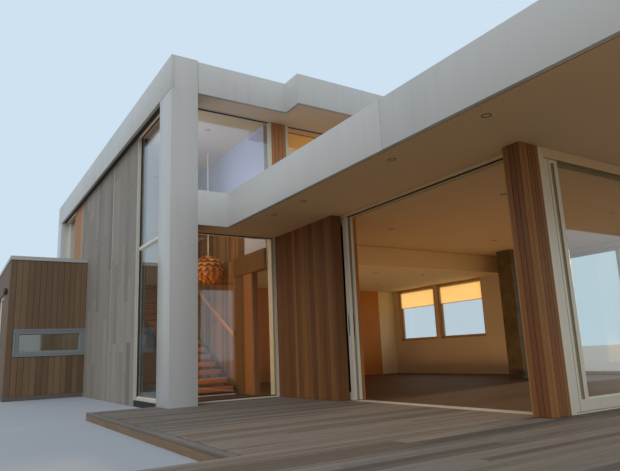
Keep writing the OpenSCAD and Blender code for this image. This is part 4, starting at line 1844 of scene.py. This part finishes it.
@dataclass
class SlidingDoors:
    """Two stacked side panels and the end wall's door, each moving with its own body. The track's
    sizes across are counted from its outer face."""

    joinery: Joinery
    reach: float = 0.03
    bar_r: float = 0.0075
    bend: float = 0.014
    rose_r: float = 0.015
    flute: float = 0.014
    flute_depth: float = 0.004
    glass_in: float = 0.011
    lip_w: float = 0.018
    lip_top: float = 2.989
    dark: Span = (0.012, 0.078)
    dark_from: float = 2.951
    channels: Span = (0.065, 0.165)
    channel_w: float = 0.024
    channel_d: float = 0.006

    def _pull(self, length: float) -> Stock:
        """Bends a round bar into a pull that stands off a stile, with a rose at each foot.

        Args:
            length: From the middle of one foot to the middle of the other.

        Returns:
            The pull, standing off towards -Y.
        """
        out = self.bend - self.reach
        shape = Shape.added(
            "pull", "circle",
            vertices=12, radius=self.bar_r, fill_type="NGON", rotation=(math.pi / 2, 0, 0),
        )
        turn = {"steps": 5, "angle": math.pi / 2, "axis": (1, 0, 0)}
        with shape.editing():
            shape.pick_all()
            shape.push((0, out, 0))
            bpy.ops.mesh.spin(center=(0, out, self.bend), **turn)
            shape.push((0, 0, length - 2 * self.bend))
            bpy.ops.mesh.spin(center=(0, out, length - self.bend), **turn)
            shape.push((0, -out, 0))
            shape.pick_all()
            bpy.ops.mesh.remove_doubles(threshold=HAIR / 5)
            bpy.ops.mesh.normals_make_consistent(inside=False)
        roses = []
        for z in (0.0, length):
            rose = Shape.added(
                "rose", "cylinder", vertices=20, radius=self.rose_r,
                depth=0.006, location=(0, -0.003, z), rotation=(math.pi / 2, 0, 0),
            ).eased(0.0012)
            roses.append(rose.obj)
        return Stock.from_shape(joined("pull", [shape.obj, *roses]).finished(STEEL))

    def _side_panel(self, name: str, box: Box) -> None:
        """Builds a side panel with its round pull in place of the plain one.

        Args:
            name: The panel's body, from which its nodes are named.
            box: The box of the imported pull.
        """
        face, middle = box.hi[0], box.middle[1]

        def cleared(shape: Shape) -> None:
            """Takes off the plain pull, closes the stile behind it, and flutes the outer side.

            Args:
                shape: The panel's frame.
            """
            if shape.pick(lambda c, n: c.x < face - HAIR):
                bpy.ops.mesh.delete(type="FACE")
            shape.pick_all()
            bpy.ops.mesh.fill_holes(sides=12)
            bpy.ops.mesh.dissolve_limited(angle_limit=math.radians(1))
            shape.pick(lambda c, n: n.x < -0.9)
            shape.inset(self.flute, -self.flute_depth)

        rose = self.rose_r - self.bar_r
        place = Box.of(
            (face - self.reach - self.bar_r, face),
            (middle - self.rose_r, middle + self.rose_r),
            (box.lo[2] - rose, box.hi[2] + rose),
        )
        pull = self._pull(box.size[2] - 2 * self.bar_r).piece(place, LEFT)
        self.joinery.framed(f"{name}_joinery", f"{name}_frame", f"{name}_glass", name, [pull], cleared)

    def build(self) -> None:
        """Builds the three doors and dresses their tracks."""
        for name in ("lead_door", "trail_door"):
            points = corners(f"{name}_frame")
            near = points[points[:, 0] < points[:, 0].min() + HAIR]
            face = float(corners(f"{name}_glass")[:, 0].min()) - self.glass_in
            low, high = near.min(0).tolist(), near.max(0).tolist()
            self._side_panel(name, Box(tuple(low), (face, *high[1:])))
        self.joinery.framed(
            "end_door_joinery", "end_door_frame", "end_door_glass", "end_door",
            shaped=self.joinery.door_profile, toned=self.joinery.door_head,
        )
        GLASS.dress("lead_door_glass", "trail_door_glass", "end_door_glass")
        self.tracks()

    def tracks(self) -> None:
        """Colours the head track, painting its outer channel black as painted shade, and sinks two
        channels in the sill and paints them black.
        """
        shape = Shape.of_node("door_track_rails", "door_track")
        shape.finished(RAIL_TRACK, GASKET_AND_SHADE, SOFFIT, FRAME)
        points, sill, halfway = corners("door_track"), whole("door_track").lo[0], 1.5
        outer = float(points[points[:, 2] > halfway, 0].min())
        lip, (dark, pale) = outer + self.lip_w, (outer + v for v in self.dark)
        with shape.editing():
            shape.coat(SOFFIT, lambda c, n: halfway < c.z < self.lip_top and c.x < lip)
            # Painted shade: the outer channel of the head track is coated black.
            shape.coat(GASKET_AND_SHADE, lambda c, n: c.z > self.dark_from and dark < c.x < pale)
            shape.coat(FRAME, lambda c, n: c.z < halfway)
            for middle in self.channels:
                low, high = (sill + middle + v * self.channel_w / 2 for v in (-1, 1))
                shape.slice(0, low)
                shape.slice(0, high)
                shape.pick(lambda c, n: low < c.x < high and n.z > 0.9 and abs(c.z) < 0.01)
                shape.push((0, 0, -self.channel_d))
                shape.paint(GASKET_AND_SHADE)
        hand_over(shape, ["door_track"])


@dataclass
class Roofs:
    """Roofing sheets with lapped joints and their upturned edges."""

    sheet_w: float = 1.0
    lap: float = 0.08
    sheet_t: float = 0.005
    rise: float = 0.1

    def _sheets(self, name: str, node: str, areas: Sequence[tuple[Span, Span]]) -> None:
        """Lays lapped sheets over a roof.

        Args:
            name: The new piece's name.
            node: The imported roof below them, which stays.
            areas: The roof's rectangles, as their spans along X and Y.
        """
        stock = board_stock(f"{name}_sheet", 0.0015, ROOFING)
        top = whole(node).hi[2]
        chance = random.Random(5)
        made = []
        for (x0, x1), (y0, y1) in areas:
            count = max(1, round((x1 - x0) / self.sheet_w))
            step = (x1 - x0) / count
            for k in range(count):
                lift = HAIR + (k % 2) * self.sheet_t * 0.8
                low = x0 + k * step - (self.lap if k else 0)
                rise = (top - HAIR, top + self.sheet_t + lift)
                box = Box.of((low, x0 + (k + 1) * step), (y0, y1), rise)
                made.append(stock.piece(box, tone=chance.random()))
            edges = (
                ((x0, x0 + self.sheet_t), (y0, y1)), ((x1 - self.sheet_t, x1), (y0, y1)),
                ((x0, x1), (y0, y0 + self.sheet_t)), ((x0, x1), (y1 - self.sheet_t, y1)),
            )
            for x, y in edges:
                made.append(stock.piece(Box.of(x, y, (top, top + self.rise)), tone=0.3))
        hand_over(joined(name, made))

    def build(self) -> None:
        """Builds both roofs."""
        upper, lower, edge = whole("upper_roof"), whole("lower_roof"), Casing()
        t, column = edge.sheet, whole("front_column").hi[0]
        step, eave = edge.upper_step + t, edge.eave_step + t
        areas = [((column, step), (t, upper.hi[1])), ((step, upper.hi[0]), upper.span(1))]
        self._sheets("upper_roof_sheets", "upper_roof", areas)
        self._sheets("lower_roof_sheets", "lower_roof", [((eave, lower.hi[0]), lower.span(1))])
        ROOFING.dress("upper_roof", "lower_roof")
        CAP.dress("side_wing_roof")


@dataclass
class Blinds:
    """Roller blinds: cloth with a bottom bar, and a cassette over it."""

    bar_h: float = 0.016
    bar_t: float = 0.008
    cassette: float = 0.05
    wave: float = 0.002

    def build(self) -> None:
        """Hangs a sheet of cloth where each packed blind is."""
        bar = board_stock("blind_bar", 0.003, JOINERY_TIMBER)
        bars = []
        for k, blind in enumerate(islands("blinds")):
            facing = side_of(blind)
            across, along = facing.across, facing.along
            width, height = blind.size[along], blind.size[2]
            turn = (math.pi / 2, 0, 0 if facing is FRONT else math.pi / 2)
            shape = Shape.added(
                f"blind_cloth_{k + 1}", "grid",
                x_subdivisions=12, y_subdivisions=6, size=1,
                location=blind.middle, rotation=turn, scale=(width, height, 1),
            )
            points = points_of(shape.obj.data)
            bow = np.sin((points[:, along] - blind.lo[along]) / width * math.pi * 3)
            fall = (blind.hi[2] - points[:, 2]) / height
            points[:, across] += self.wave * bow * fall
            set_points(shape.obj.data, points)
            shape.modify("SOLIDIFY", thickness=0.0008, offset=0)
            shape.finished(BLIND)
            middle = blind.middle[across]
            for low, high, thick in (
                (blind.lo[2] - self.bar_h / 2, blind.lo[2] + self.bar_h / 2, self.bar_t),
                (blind.hi[2] - self.cassette / 2, blind.hi[2], self.cassette / 2),
            ):
                deep = (middle - thick / 2, middle + thick / 2)
                bars.append(bar.piece(Box.on(facing, blind.span(along), deep, (low, high)), facing))
            obj = hand_over(shape, ["blinds"])
        hand_over(joined("blind_bars", bars))


@dataclass
class Hall:
    """The tall hall: boarded lining, open stair, rail and pendant lamp. The lining's sizes are
    where its post, boards, groove and panel start, and the beam's foot and top."""

    post_y: float = 1.39
    board_y: float = 1.74
    groove_y: float = 1.87
    panel_y: float = 2.19
    upper_y: float = 2.0
    beam_foot: float = 2.43
    beam_top: float = 2.83
    proud: float = 0.025
    groove: float = 0.012
    nosing: float = 0.006
    ease: float = 0.003

    def lining(self) -> None:
        """Boards the hall's right side: upright boards, a beam over the way through, and below it
        a flush panel, a groove and a post."""
        lining = whole("hall_lining")
        face, thick = lining.lo[0], lining.size[0]
        tall = board_stock("hall_board", 0.002, LINING)
        dark = board_stock("hall_beam", 0.002, DARK_LINING_AND_SHADE)
        plain = board_stock("hall_post", 0.002, JOINERY_TIMBER)
        start, end, top = lining.lo[1], lining.hi[1], lining.hi[2]
        low, high = (0.0, self.beam_foot), (self.beam_top, top)
        fields = (
            (dark, (start, self.panel_y), (self.beam_foot, self.beam_top), 1.5, self.proud),
            # A dark board above the beam, next to the tall boards, is painted shade.
            (dark, (self.board_y - 0.02, self.upper_y), high, 0.3, 0.0),
            (tall, (self.upper_y, end), high, 0.1, 0.0),
            (tall, (self.panel_y, end), (0.0, self.beam_top), 0.1, 0.0),
            (plain, (self.post_y, self.board_y), low, 0.35, 0.0),
            (dark, (self.board_y, self.groove_y), low, 0.13, -self.groove),
            (dark, (self.groove_y, self.panel_y), low, 0.32, 0.0),
        )
        boards = []
        for stock, run, rise, pitch, proud in fields:
            boards += Cladding(
                LEFT, face - proud, run, rise, pitch, gap=0.003, thick=thick + proud,
                spread=0.35, seed=62,
            ).boards(stock)
        hand_over(joined("hall_lining_boards", boards), ["hall_lining"])

    def wall(self) -> None:
        """Paints the wall behind the lining, its end by the corner pane in cream, partly its paint and
        partly painted sunlight, and its top in a cool tone, which is painted shade from the sky, and
        lines the way through it in timber."""
        end, top = whole("front_beam").hi[1] - 0.01, whole("hall_lining").hi[2]
        shape = Shape.of_node("hall_wall_plaster", "hall_wall")
        shape.finished(WALL_PAINT, CREAM_AND_SUNLIT, JOINERY_TIMBER, COOL_SHADE_PAINT)
        foot = self.beam_foot
        with shape.editing():
            # Cream on the end by the corner pane: partly its paint, partly painted sunlight.
            shape.coat(CREAM_AND_SUNLIT, lambda c, n: c.y < end)
            shape.slice(2, top)
            # The cool tone at the top is painted shade.
            shape.coat(COOL_SHADE_PAINT, lambda c, n: n.x < -0.9 and c.z > top)
            shape.coat(
                JOINERY_TIMBER,
                lambda c, n: (abs(n.y) > 0.9 and end < c.y < 1.6 and c.z < foot)
                or (n.z < -0.9 and abs(c.z - foot) < 0.1),
            )
        hand_over(shape.eased(self.ease), ["hall_wall"])

    def stair(self) -> None:
        """Rounds the treads' nosings, eases the strings, which are dark as painted shade, and the rail,
        and lays a thin cream strip at the stair's foot as painted sunlight.
        """
        shape = Shape.cube("tread", Box.of((0, 0.6), (0, 0.3), (0, 0.1))).eased(self.nosing, 3)
        tread = Stock.from_shape(shape.finished(STAIR))
        chance = random.Random(9)
        made = [tread.piece(box, tone=chance.random()) for box in islands("stair_treads")]
        hand_over(joined("stair_treads_eased", made), ["stair_treads"], smooth=40)
        # The strings are dark, as painted shade.
        strings = Shape.of_node("stair_strings_eased", "stair_strings").finished(SHADED_STRING)
        # A thin cream strip at the foot of the stair is painted sunlight.
        foot = Shape.cube("stair_foot", Box.of((1.05, 2.1), (2.035, 2.06), (0.0, 0.018)))
        pieces = [strings.eased(self.ease).obj, foot.eased(self.ease).finished(CREAM_AND_SUNLIT).obj]
        hand_over(joined("stair_strings_eased", pieces), ["stair_strings"])
        rail = Shape.of_node("handrail_eased", "handrail").finished(RAIL)
        hand_over(rail.eased(0.005, 3), ["handrail"], smooth=40)

    def build(self) -> None:
        """Builds the hall's fittings."""
        self.lining()
        self.stair()
        self.wall()


@dataclass
class Pendant:
    """A ball of overlapping veneer leaves on a thin rod."""

    rows: int = 9
    leaf_l: float = 0.22
    leaf_w: float = 0.17
    thick: float = 0.0014
    shoulder: float = 0.55
    bow: float = 0.018
    tilt: float = 29.0
    first: float = 14.0
    sweep: float = 152.0
    wide: float = 1.05
    flat: float = 0.96
    core: float = 0.78
    rod_r: float = 0.015

    def _leaf(self) -> bpy.types.Mesh:
        """Models one leaf: a bowed sheet that narrows to a blunt tip."""
        shape = Shape.added(
            "leaf", "grid",
            x_subdivisions=4, y_subdivisions=5, size=1, scale=(self.leaf_w, self.leaf_l, 1),
        )
        mesh = shape.obj.data
        points = points_of(mesh)
        along = points[:, 1] / self.leaf_l + 0.5
        side = points[:, 0] / (self.leaf_w / 2)
        foot = 1.0 - 0.9 * (1 - along / self.shoulder).clip(0) ** 1.3
        tip = 1.0 - 0.25 * (along - self.shoulder) / (1 - self.shoulder)
        width = np.where(along < self.shoulder, foot, tip)
        points[:, 0] = side * width * self.leaf_w / 2
        points[:, 2] = -self.bow * side**2 * width + 0.012 * np.sin(along * math.pi)
        set_points(mesh, points)
        shape.modify("SOLIDIFY", thickness=self.thick, offset=0)
        return Stock.from_shape(shape.finished(LEAF)).mesh

    def build(self) -> None:
        """Builds the ball in staggered rings from its foot to its crown."""
        lamp = whole("pendant_lamp")
        radius = lamp.size[0] / 2
        centre = Vector((lamp.middle[0], lamp.middle[1], lamp.lo[2] + radius))
        leaf = self._leaf()
        chance = random.Random(13)
        made = []
        for row in range(self.rows):
            polar = math.radians(self.first + self.sweep * row / (self.rows - 1))
            ring = radius * math.sin(polar)
            count = max(3, round(2 * math.pi * ring / (self.leaf_w * 0.86)))
            for k in range(count):
                turn = (k + 0.5 * (row % 2)) * 2 * math.pi / count
                made.append(self._placed(leaf, centre, radius, polar, turn, chance.random()))
        # A dark ball inside the leaves is painted shade: it makes the gaps between the leaves dark.
        core = Shape.added(
            "lamp_core", "uv_sphere",
            segments=24, ring_count=14, radius=radius * self.core, location=centre,
        ).finished(BACKING_AND_SHADE)
        with core.editing():
            core.pick(lambda c, n: n.z > 0.98)
            core.inset(0.004, 0.003)
        rod = Shape.added(
            "lamp_rod", "cylinder",
            vertices=16, radius=self.rod_r, depth=lamp.hi[2] - centre.z - 0.01,
            location=(centre.x, centre.y, (centre.z + lamp.hi[2]) / 2),
        ).finished(CREAM_AND_SUNLIT)
        with rod.editing():
            rod.pick(lambda c, n: n.z > 0.9)
            rod.inset(0.001)
            rod.push((0, 0, -0.02))
            bpy.ops.transform.resize(value=(5, 5, 1))
        shape = joined("pendant_leaves", [*made, core.obj, rod.obj])
        hand_over(shape, ["pendant_lamp"], smooth=18)

    def _placed(
        self, leaf: bpy.types.Mesh, centre: Vector, radius: float, polar: float, turn: float, tone: float
    ) -> Piece:
        """Copies a leaf to its place, tip down and standing out a little.

        Args:
            leaf: The leaf.
            centre: The ball's centre.
            radius: The ball's radius.
            polar: The leaf's angle from the ball's crown.
            turn: Its angle round the rod.
            tone: Its own shade, which also sets how far it stands out.
        """
        mesh = leaf.copy()
        around = Vector((math.cos(turn), math.sin(turn), 0))
        out = around * math.sin(polar) + Vector((0, 0, math.cos(polar)))
        up = around * -math.cos(polar) + Vector((0, 0, math.sin(polar)))
        turned = Matrix((up.cross(out), up, out)).transposed().to_4x4()
        lift = (self.tilt + 8 * tone) * min(1.0, polar / 1.1) ** 2
        tilt = Matrix.Rotation(math.radians(-lift), 4, "X")
        place = Vector((out.x * self.wide, out.y * self.wide, out.z * self.flat)) * (radius * 0.9)
        mesh.transform(Matrix.Translation(centre + place) @ turned @ tilt)
        set_tone(mesh, tone)
        return linked("leaf_copy", mesh)


@dataclass
class Rooms:
    """Floors, ceilings, inner walls, the chimney and the lamps in and on them."""

    gap: float = 0.012
    panel_w: float = 0.95
    panels_to: float = 9.15
    column_y: float = 0.63
    # The depth of the warm ceiling strip, which is a painted reflection.
    warm_strip: float = 0.53
    light_r: float = 0.052
    wall_lamp_y: float = 7.9
    wall_lamp_z: float = 2.68

    def build(self) -> None:
        """Dresses what the openings show of the rooms."""
        FLOOR.dress("ground_floor")
        CEILING.dress("upper_floor")
        BEAM_PAINT_AND_REFLECTION.dress("front_beam")
        HEARTH.dress("chimney_breast")
        POCKET_TIMBER.dress("pocket_lining")
        self.soffit()
        self.upper_ceiling()
        self.inner_wall()
        self.downlights()
        self.wall_lamp()

    def soffit(self) -> None:
        """Sinks a shadow gap round the lower soffit and paints it dark, as painted shade in the gap."""
        shape = Shape.of_node("lower_soffit_sheet", "lower_soffit").finished(SOFFIT, GAP_SHADE)
        with shape.editing():
            shape.pick(lambda c, n: n.z < -0.9)
            shape.inset(self.gap, each=False)
            mesh = bmesh.from_edit_mesh(shape.obj.data)
            rim = {f.index for f in mesh.faces if f.normal.z < -0.9 and not f.select}
            bpy.ops.mesh.select_all(action="DESELECT")
            for face in mesh.faces:
                face.select_set(face.index in rim)
            bmesh.update_edit_mesh(shape.obj.data)
            shape.push((0, 0, self.gap))
            # The sunk rim is painted dark, as painted shade.
            shape.paint(GAP_SHADE)
        hand_over(shape, ["lower_soffit"])

    def upper_ceiling(self) -> None:
        """Paints the strip of the upper soffit outside the side wall dark, as painted shade where a
        shadow gap shows, and paints the ceiling's strip behind the hall's upper window in a warm tone,
        as a painted reflection of the sunlit soffit in that pane."""
        shape = Shape.of_node("upper_ceiling_sheet", "upper_ceiling")
        shape.finished(UPPER_SOFFIT, GAP_SHADE, BEAM_PAINT_AND_REFLECTION)
        panes = islands("window_glass")
        pane = next(p for p in panes if p.lo[2] > 3.0 and p.lo[1] < 0.6 and p.lo[0] > 0.3)
        face, right, near = whole("side_wall").lo[0], pane.hi[0], pane.hi[1]
        far = near + self.warm_strip
        with shape.editing():
            shape.slice(0, face)
            shape.slice(1, self.column_y)
            # Painted shade on the strip under the side fascia.
            shape.coat(GAP_SHADE, lambda c, n: n.z < -0.9 and c.x < face and c.y > self.column_y)
            for axis, place in ((1, near), (1, far), (0, right)):
                shape.slice(axis, place)
            # Painted reflection: the warm strip behind the upper window.
            shape.coat(BEAM_PAINT_AND_REFLECTION, lambda c, n: n.z < -0.9 and face < c.x < right and near < c.y < far)
        hand_over(shape, ["upper_ceiling"])

    def inner_wall(self) -> None:
        """Faces the wall behind the living room with timber panels, and paints its far end."""
        shape = Shape.of_node("inner_wall_panels", "inner_wall").finished(PANELLING, CREAM_AND_SUNLIT, BACKING_AND_SHADE)
        start, half = whole("inner_wall").lo[0] + self.panel_w, self.gap / 3
        with shape.editing():
            shape.slice(0, self.panels_to)
            shape.coat(CREAM_AND_SUNLIT, lambda c, n: c.x > self.panels_to)
            for x in np.arange(start, self.panels_to - 0.2, self.panel_w):
                shape.slice(0, x - half)
                shape.slice(0, x + half)
                shape.pick(lambda c, n: n.y < -0.9 and abs(c.x - x) < half)
                shape.push((0, self.gap, 0))
                shape.paint(BACKING_AND_SHADE)
        hand_over(shape, ["inner_wall"])

    def _downlight(self) -> Stock:
        """Models a recessed lamp: a rim round a sunk face."""
        shape = Shape.added("downlight", "cylinder", vertices=32, radius=self.light_r, depth=0.008)
        shape.eased(0.002)
        with shape.editing():
            shape.pick(lambda c, n: n.z < -0.9)
            shape.inset(0.008)
            shape.inset(0.002, -0.006)
        return Stock.from_shape(shape.finished(TRACK))

    def downlights(self) -> None:
        """Sets the recessed lamps of the soffits and ceilings."""
        stock = self._downlight()
        low, high = whole("lower_soffit").lo[2], whole("upper_ceiling").lo[2]
        floor = whole("upper_floor").lo[2]
        grids = (
            ((1.365,), (-1.12, -2.03, -4.06, -5.5, -7.0), low),
            ((3.96, 6.87), (-0.98, -3.59), low),
            ((6.08, 7.68), (2.15, 4.11), floor),
            ((1.29, 3.8, 6.4, 9.0), (1.51, 5.0), high),
        )
        r, made = self.light_r, []
        for x, y, z in ((x, y, z) for columns, rows, z in grids for x in columns for y in rows):
            box = Box.of((x - r, x + r), (y - r, y + r), (z - 0.004, z + 0.003))
            made.append(stock.piece(box, scaled=True))
        hand_over(joined("downlights", made), smooth=40)

    def wall_lamp(self) -> None:
        """Hangs a small up-and-down lamp on the side wing."""
        face, y, z = whole("side_wing_walls").lo[0], self.wall_lamp_y, self.wall_lamp_z
        shape = Shape.added(
            "wall_lamp", "cylinder",
            vertices=24, radius=0.045, depth=0.18, location=(face - 0.065, y, z),
        )
        shape.eased(0.003, 2).finished(TRACK)
        with shape.editing():
            shape.pick(lambda c, n: abs(n.z) > 0.9)
            shape.inset(0.006)
            shape.inset(0.001, -0.03)
        box = Box.of((face - 0.025, face), (y - 0.03, y + 0.03), (z - 0.05, z + 0.05))
        plate = Shape.cube("wall_lamp_plate", box).eased(0.003).finished(TRACK)
        hand_over(joined("wall_lamp", [shape.obj, plate.obj]), smooth=40)


@dataclass
class Studio:
    """The camera at the photograph's angle, a pale floor and soft even light."""

    eye: Vec = (-3.0, -8.966, 0.745)
    yaw: float = 32.709
    pitch: float = 11.805
    roll: float = -2.399
    lens: float = 32.86
    sky: Colour = tint("cee2f1")
    ground: Colour = tint("a5acb5")
    dim_ground: Colour = tint("ac9b82")

    def camera(self) -> None:
        """Places the camera."""
        data = bpy.data.cameras.new("camera")
        data.lens = self.lens
        data.sensor_width = 36.0
        data.clip_end = 500.0
        yaw, pitch, roll = (math.radians(v) for v in (self.yaw, self.pitch, self.roll))
        level = Vector((math.sin(yaw), math.cos(yaw), 0))
        right = Vector((math.cos(yaw), -math.sin(yaw), 0))
        ahead = level * math.cos(pitch) + Vector((0, 0, math.sin(pitch)))
        up = right.cross(ahead)
        tilted = right * math.cos(roll) + up * math.sin(roll)
        upright = up * math.cos(roll) - right * math.sin(roll)
        turn = Matrix((tilted, upright, -ahead)).transposed()
        camera = linked("camera", data)
        camera.matrix_world = Matrix.Translation(HOUSE + Vector(self.eye)) @ turn.to_4x4()
        bpy.context.scene.camera = camera

    @staticmethod
    def _seen(g: Graph) -> Value:
        """Returns 1 for what the camera, a mirror or clear glass shows, and else 0."""
        rays = g.node("ShaderNodeLightPath").socket.node.outputs
        parts = [Value(g, rays[f"Is {kind} Ray"]) for kind in ("Camera", "Glossy", "Transmission")]
        return (parts[0] + parts[1] + parts[2]).kept()

    def floor(self) -> None:
        """Lays a round pale floor that meets the backdrop far away."""
        shape = Shape.added("studio_floor", "circle", vertices=96, radius=150, fill_type="NGON")
        with shape.editing():
            shape.pick_all()
            shape.inset(100)
        material = bpy.data.materials.new("studio_floor")
        g = Graph(material)
        colour = g.blend(self._seen(g), self.dim_ground, self.ground)
        g.skin(Base_Color=colour, Roughness=0.95)
        shape.obj.data.materials.append(material)

    def light(self) -> None:
        """Lights the house with a pale sky, a broad key from the left, a low warm lamp and soft
        flat lamps in its rooms, which aren't seen themselves."""
        world = bpy.data.worlds.new("backdrop")
        bpy.context.scene.world = world
        g = Graph(world)
        view = g.node("ShaderNodeBackground", inputs={"Color": self.sky, "Strength": 1.0})
        soft = g.node("ShaderNodeBackground", inputs={"Color": tint("eef4fa"), "Strength": 0.72})
        mixed = g.node("ShaderNodeMixShader", inputs={0: self._seen(g), 1: soft, 2: view})
        g.end(mixed, "ShaderNodeOutputWorld")
        low = tint("ffce94")
        for name, towards, power, angle, colour in (
            ("key", (-0.52, -0.60, 0.60), 0.8, 40, tint("fffcf6")),
            ("warm_low", (0.966, 0.203, 0.158), 3.3, 4, low),
        ):
            sun = self._lamp(name, "SUN", power, colour, angle=math.radians(angle))
            sun.rotation_quaternion = Vector(towards).to_track_quat("Z", "Y")
        warm, hall, cool = tint("ffc886"), tint("ffb864"), tint("bed0ff")
        for name, place, towards, size, power, colour in (
            ("living_lamp", (6.4, -1.2, 0.2), (0, 0, 1), (6.0, 6.0), 42, warm),
            ("room_lamp", (6.4, 3.0, 0.2), (0, 0, 1), (6.0, 4.0), 24, warm),
            ("hall_lamp", (0.34, 1.6, 1.5), (1, 0, 0), (1.7, 2.6), 16, hall),
            ("upper_lamp", (0.34, 1.6, 4.2), (1, 0, 0), (1.7, 2.2), 22, cool),
            ("upper_room_lamp", (5.4, 2.6, 4.6), (0, -1, 0), (4.0, 1.4), 26, warm),
            ("wing_lamp", (-0.8, 9.3, 3.3), (0, 0, -1), (1.0, 2.4), 14, warm),
        ):
            lamp = self._lamp(
                name, "AREA", power, colour, shape="RECTANGLE", size=size[0], size_y=size[1]
            )
            lamp.location = HOUSE + Vector(place)
            lamp.rotation_quaternion = Vector(towards).to_track_quat("-Z", "Y")
            lamp.visible_camera = lamp.visible_glossy = False

    @staticmethod
    def _lamp(name: str, kind: str, power: float, colour: Colour, **settings: Any) -> Piece:
        """Adds a lamp, not yet turned.

        Args:
            name: Its name.
            kind: Its type.
            power: Its power in watts, or a sun's light on a surface that faces it.
            colour: Its colour.
            **settings: What else its type has.
        """
        data = bpy.data.lights.new(name, kind)
        for key, value in {**settings, "energy": power, "color": colour}.items():
            setattr(data, key, value)
        lamp = linked(name, data)
        lamp.rotation_mode = "QUATERNION"
        return lamp

    def build(self) -> None:
        """Sets up the studio."""
        self.camera()
        self.floor()
        self.light()
        bpy.context.scene.view_settings.view_transform = "Standard"


def main() -> None:
    """Builds the house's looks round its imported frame, in order."""
    logging.basicConfig(level=logging.INFO, format="%(name)s %(relativeCreated)d ms %(message)s")
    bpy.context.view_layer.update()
    Studio().build()
    Deck().build()
    Casing().build()
    Walls().build()
    joinery = Joinery()
    joinery.build()
    SlidingDoors(joinery).build()
    Roofs().build()
    Rooms().build()
    Hall().build()
    Pendant().build()
    Blinds().build()


if __name__ == "__main__":
    main()
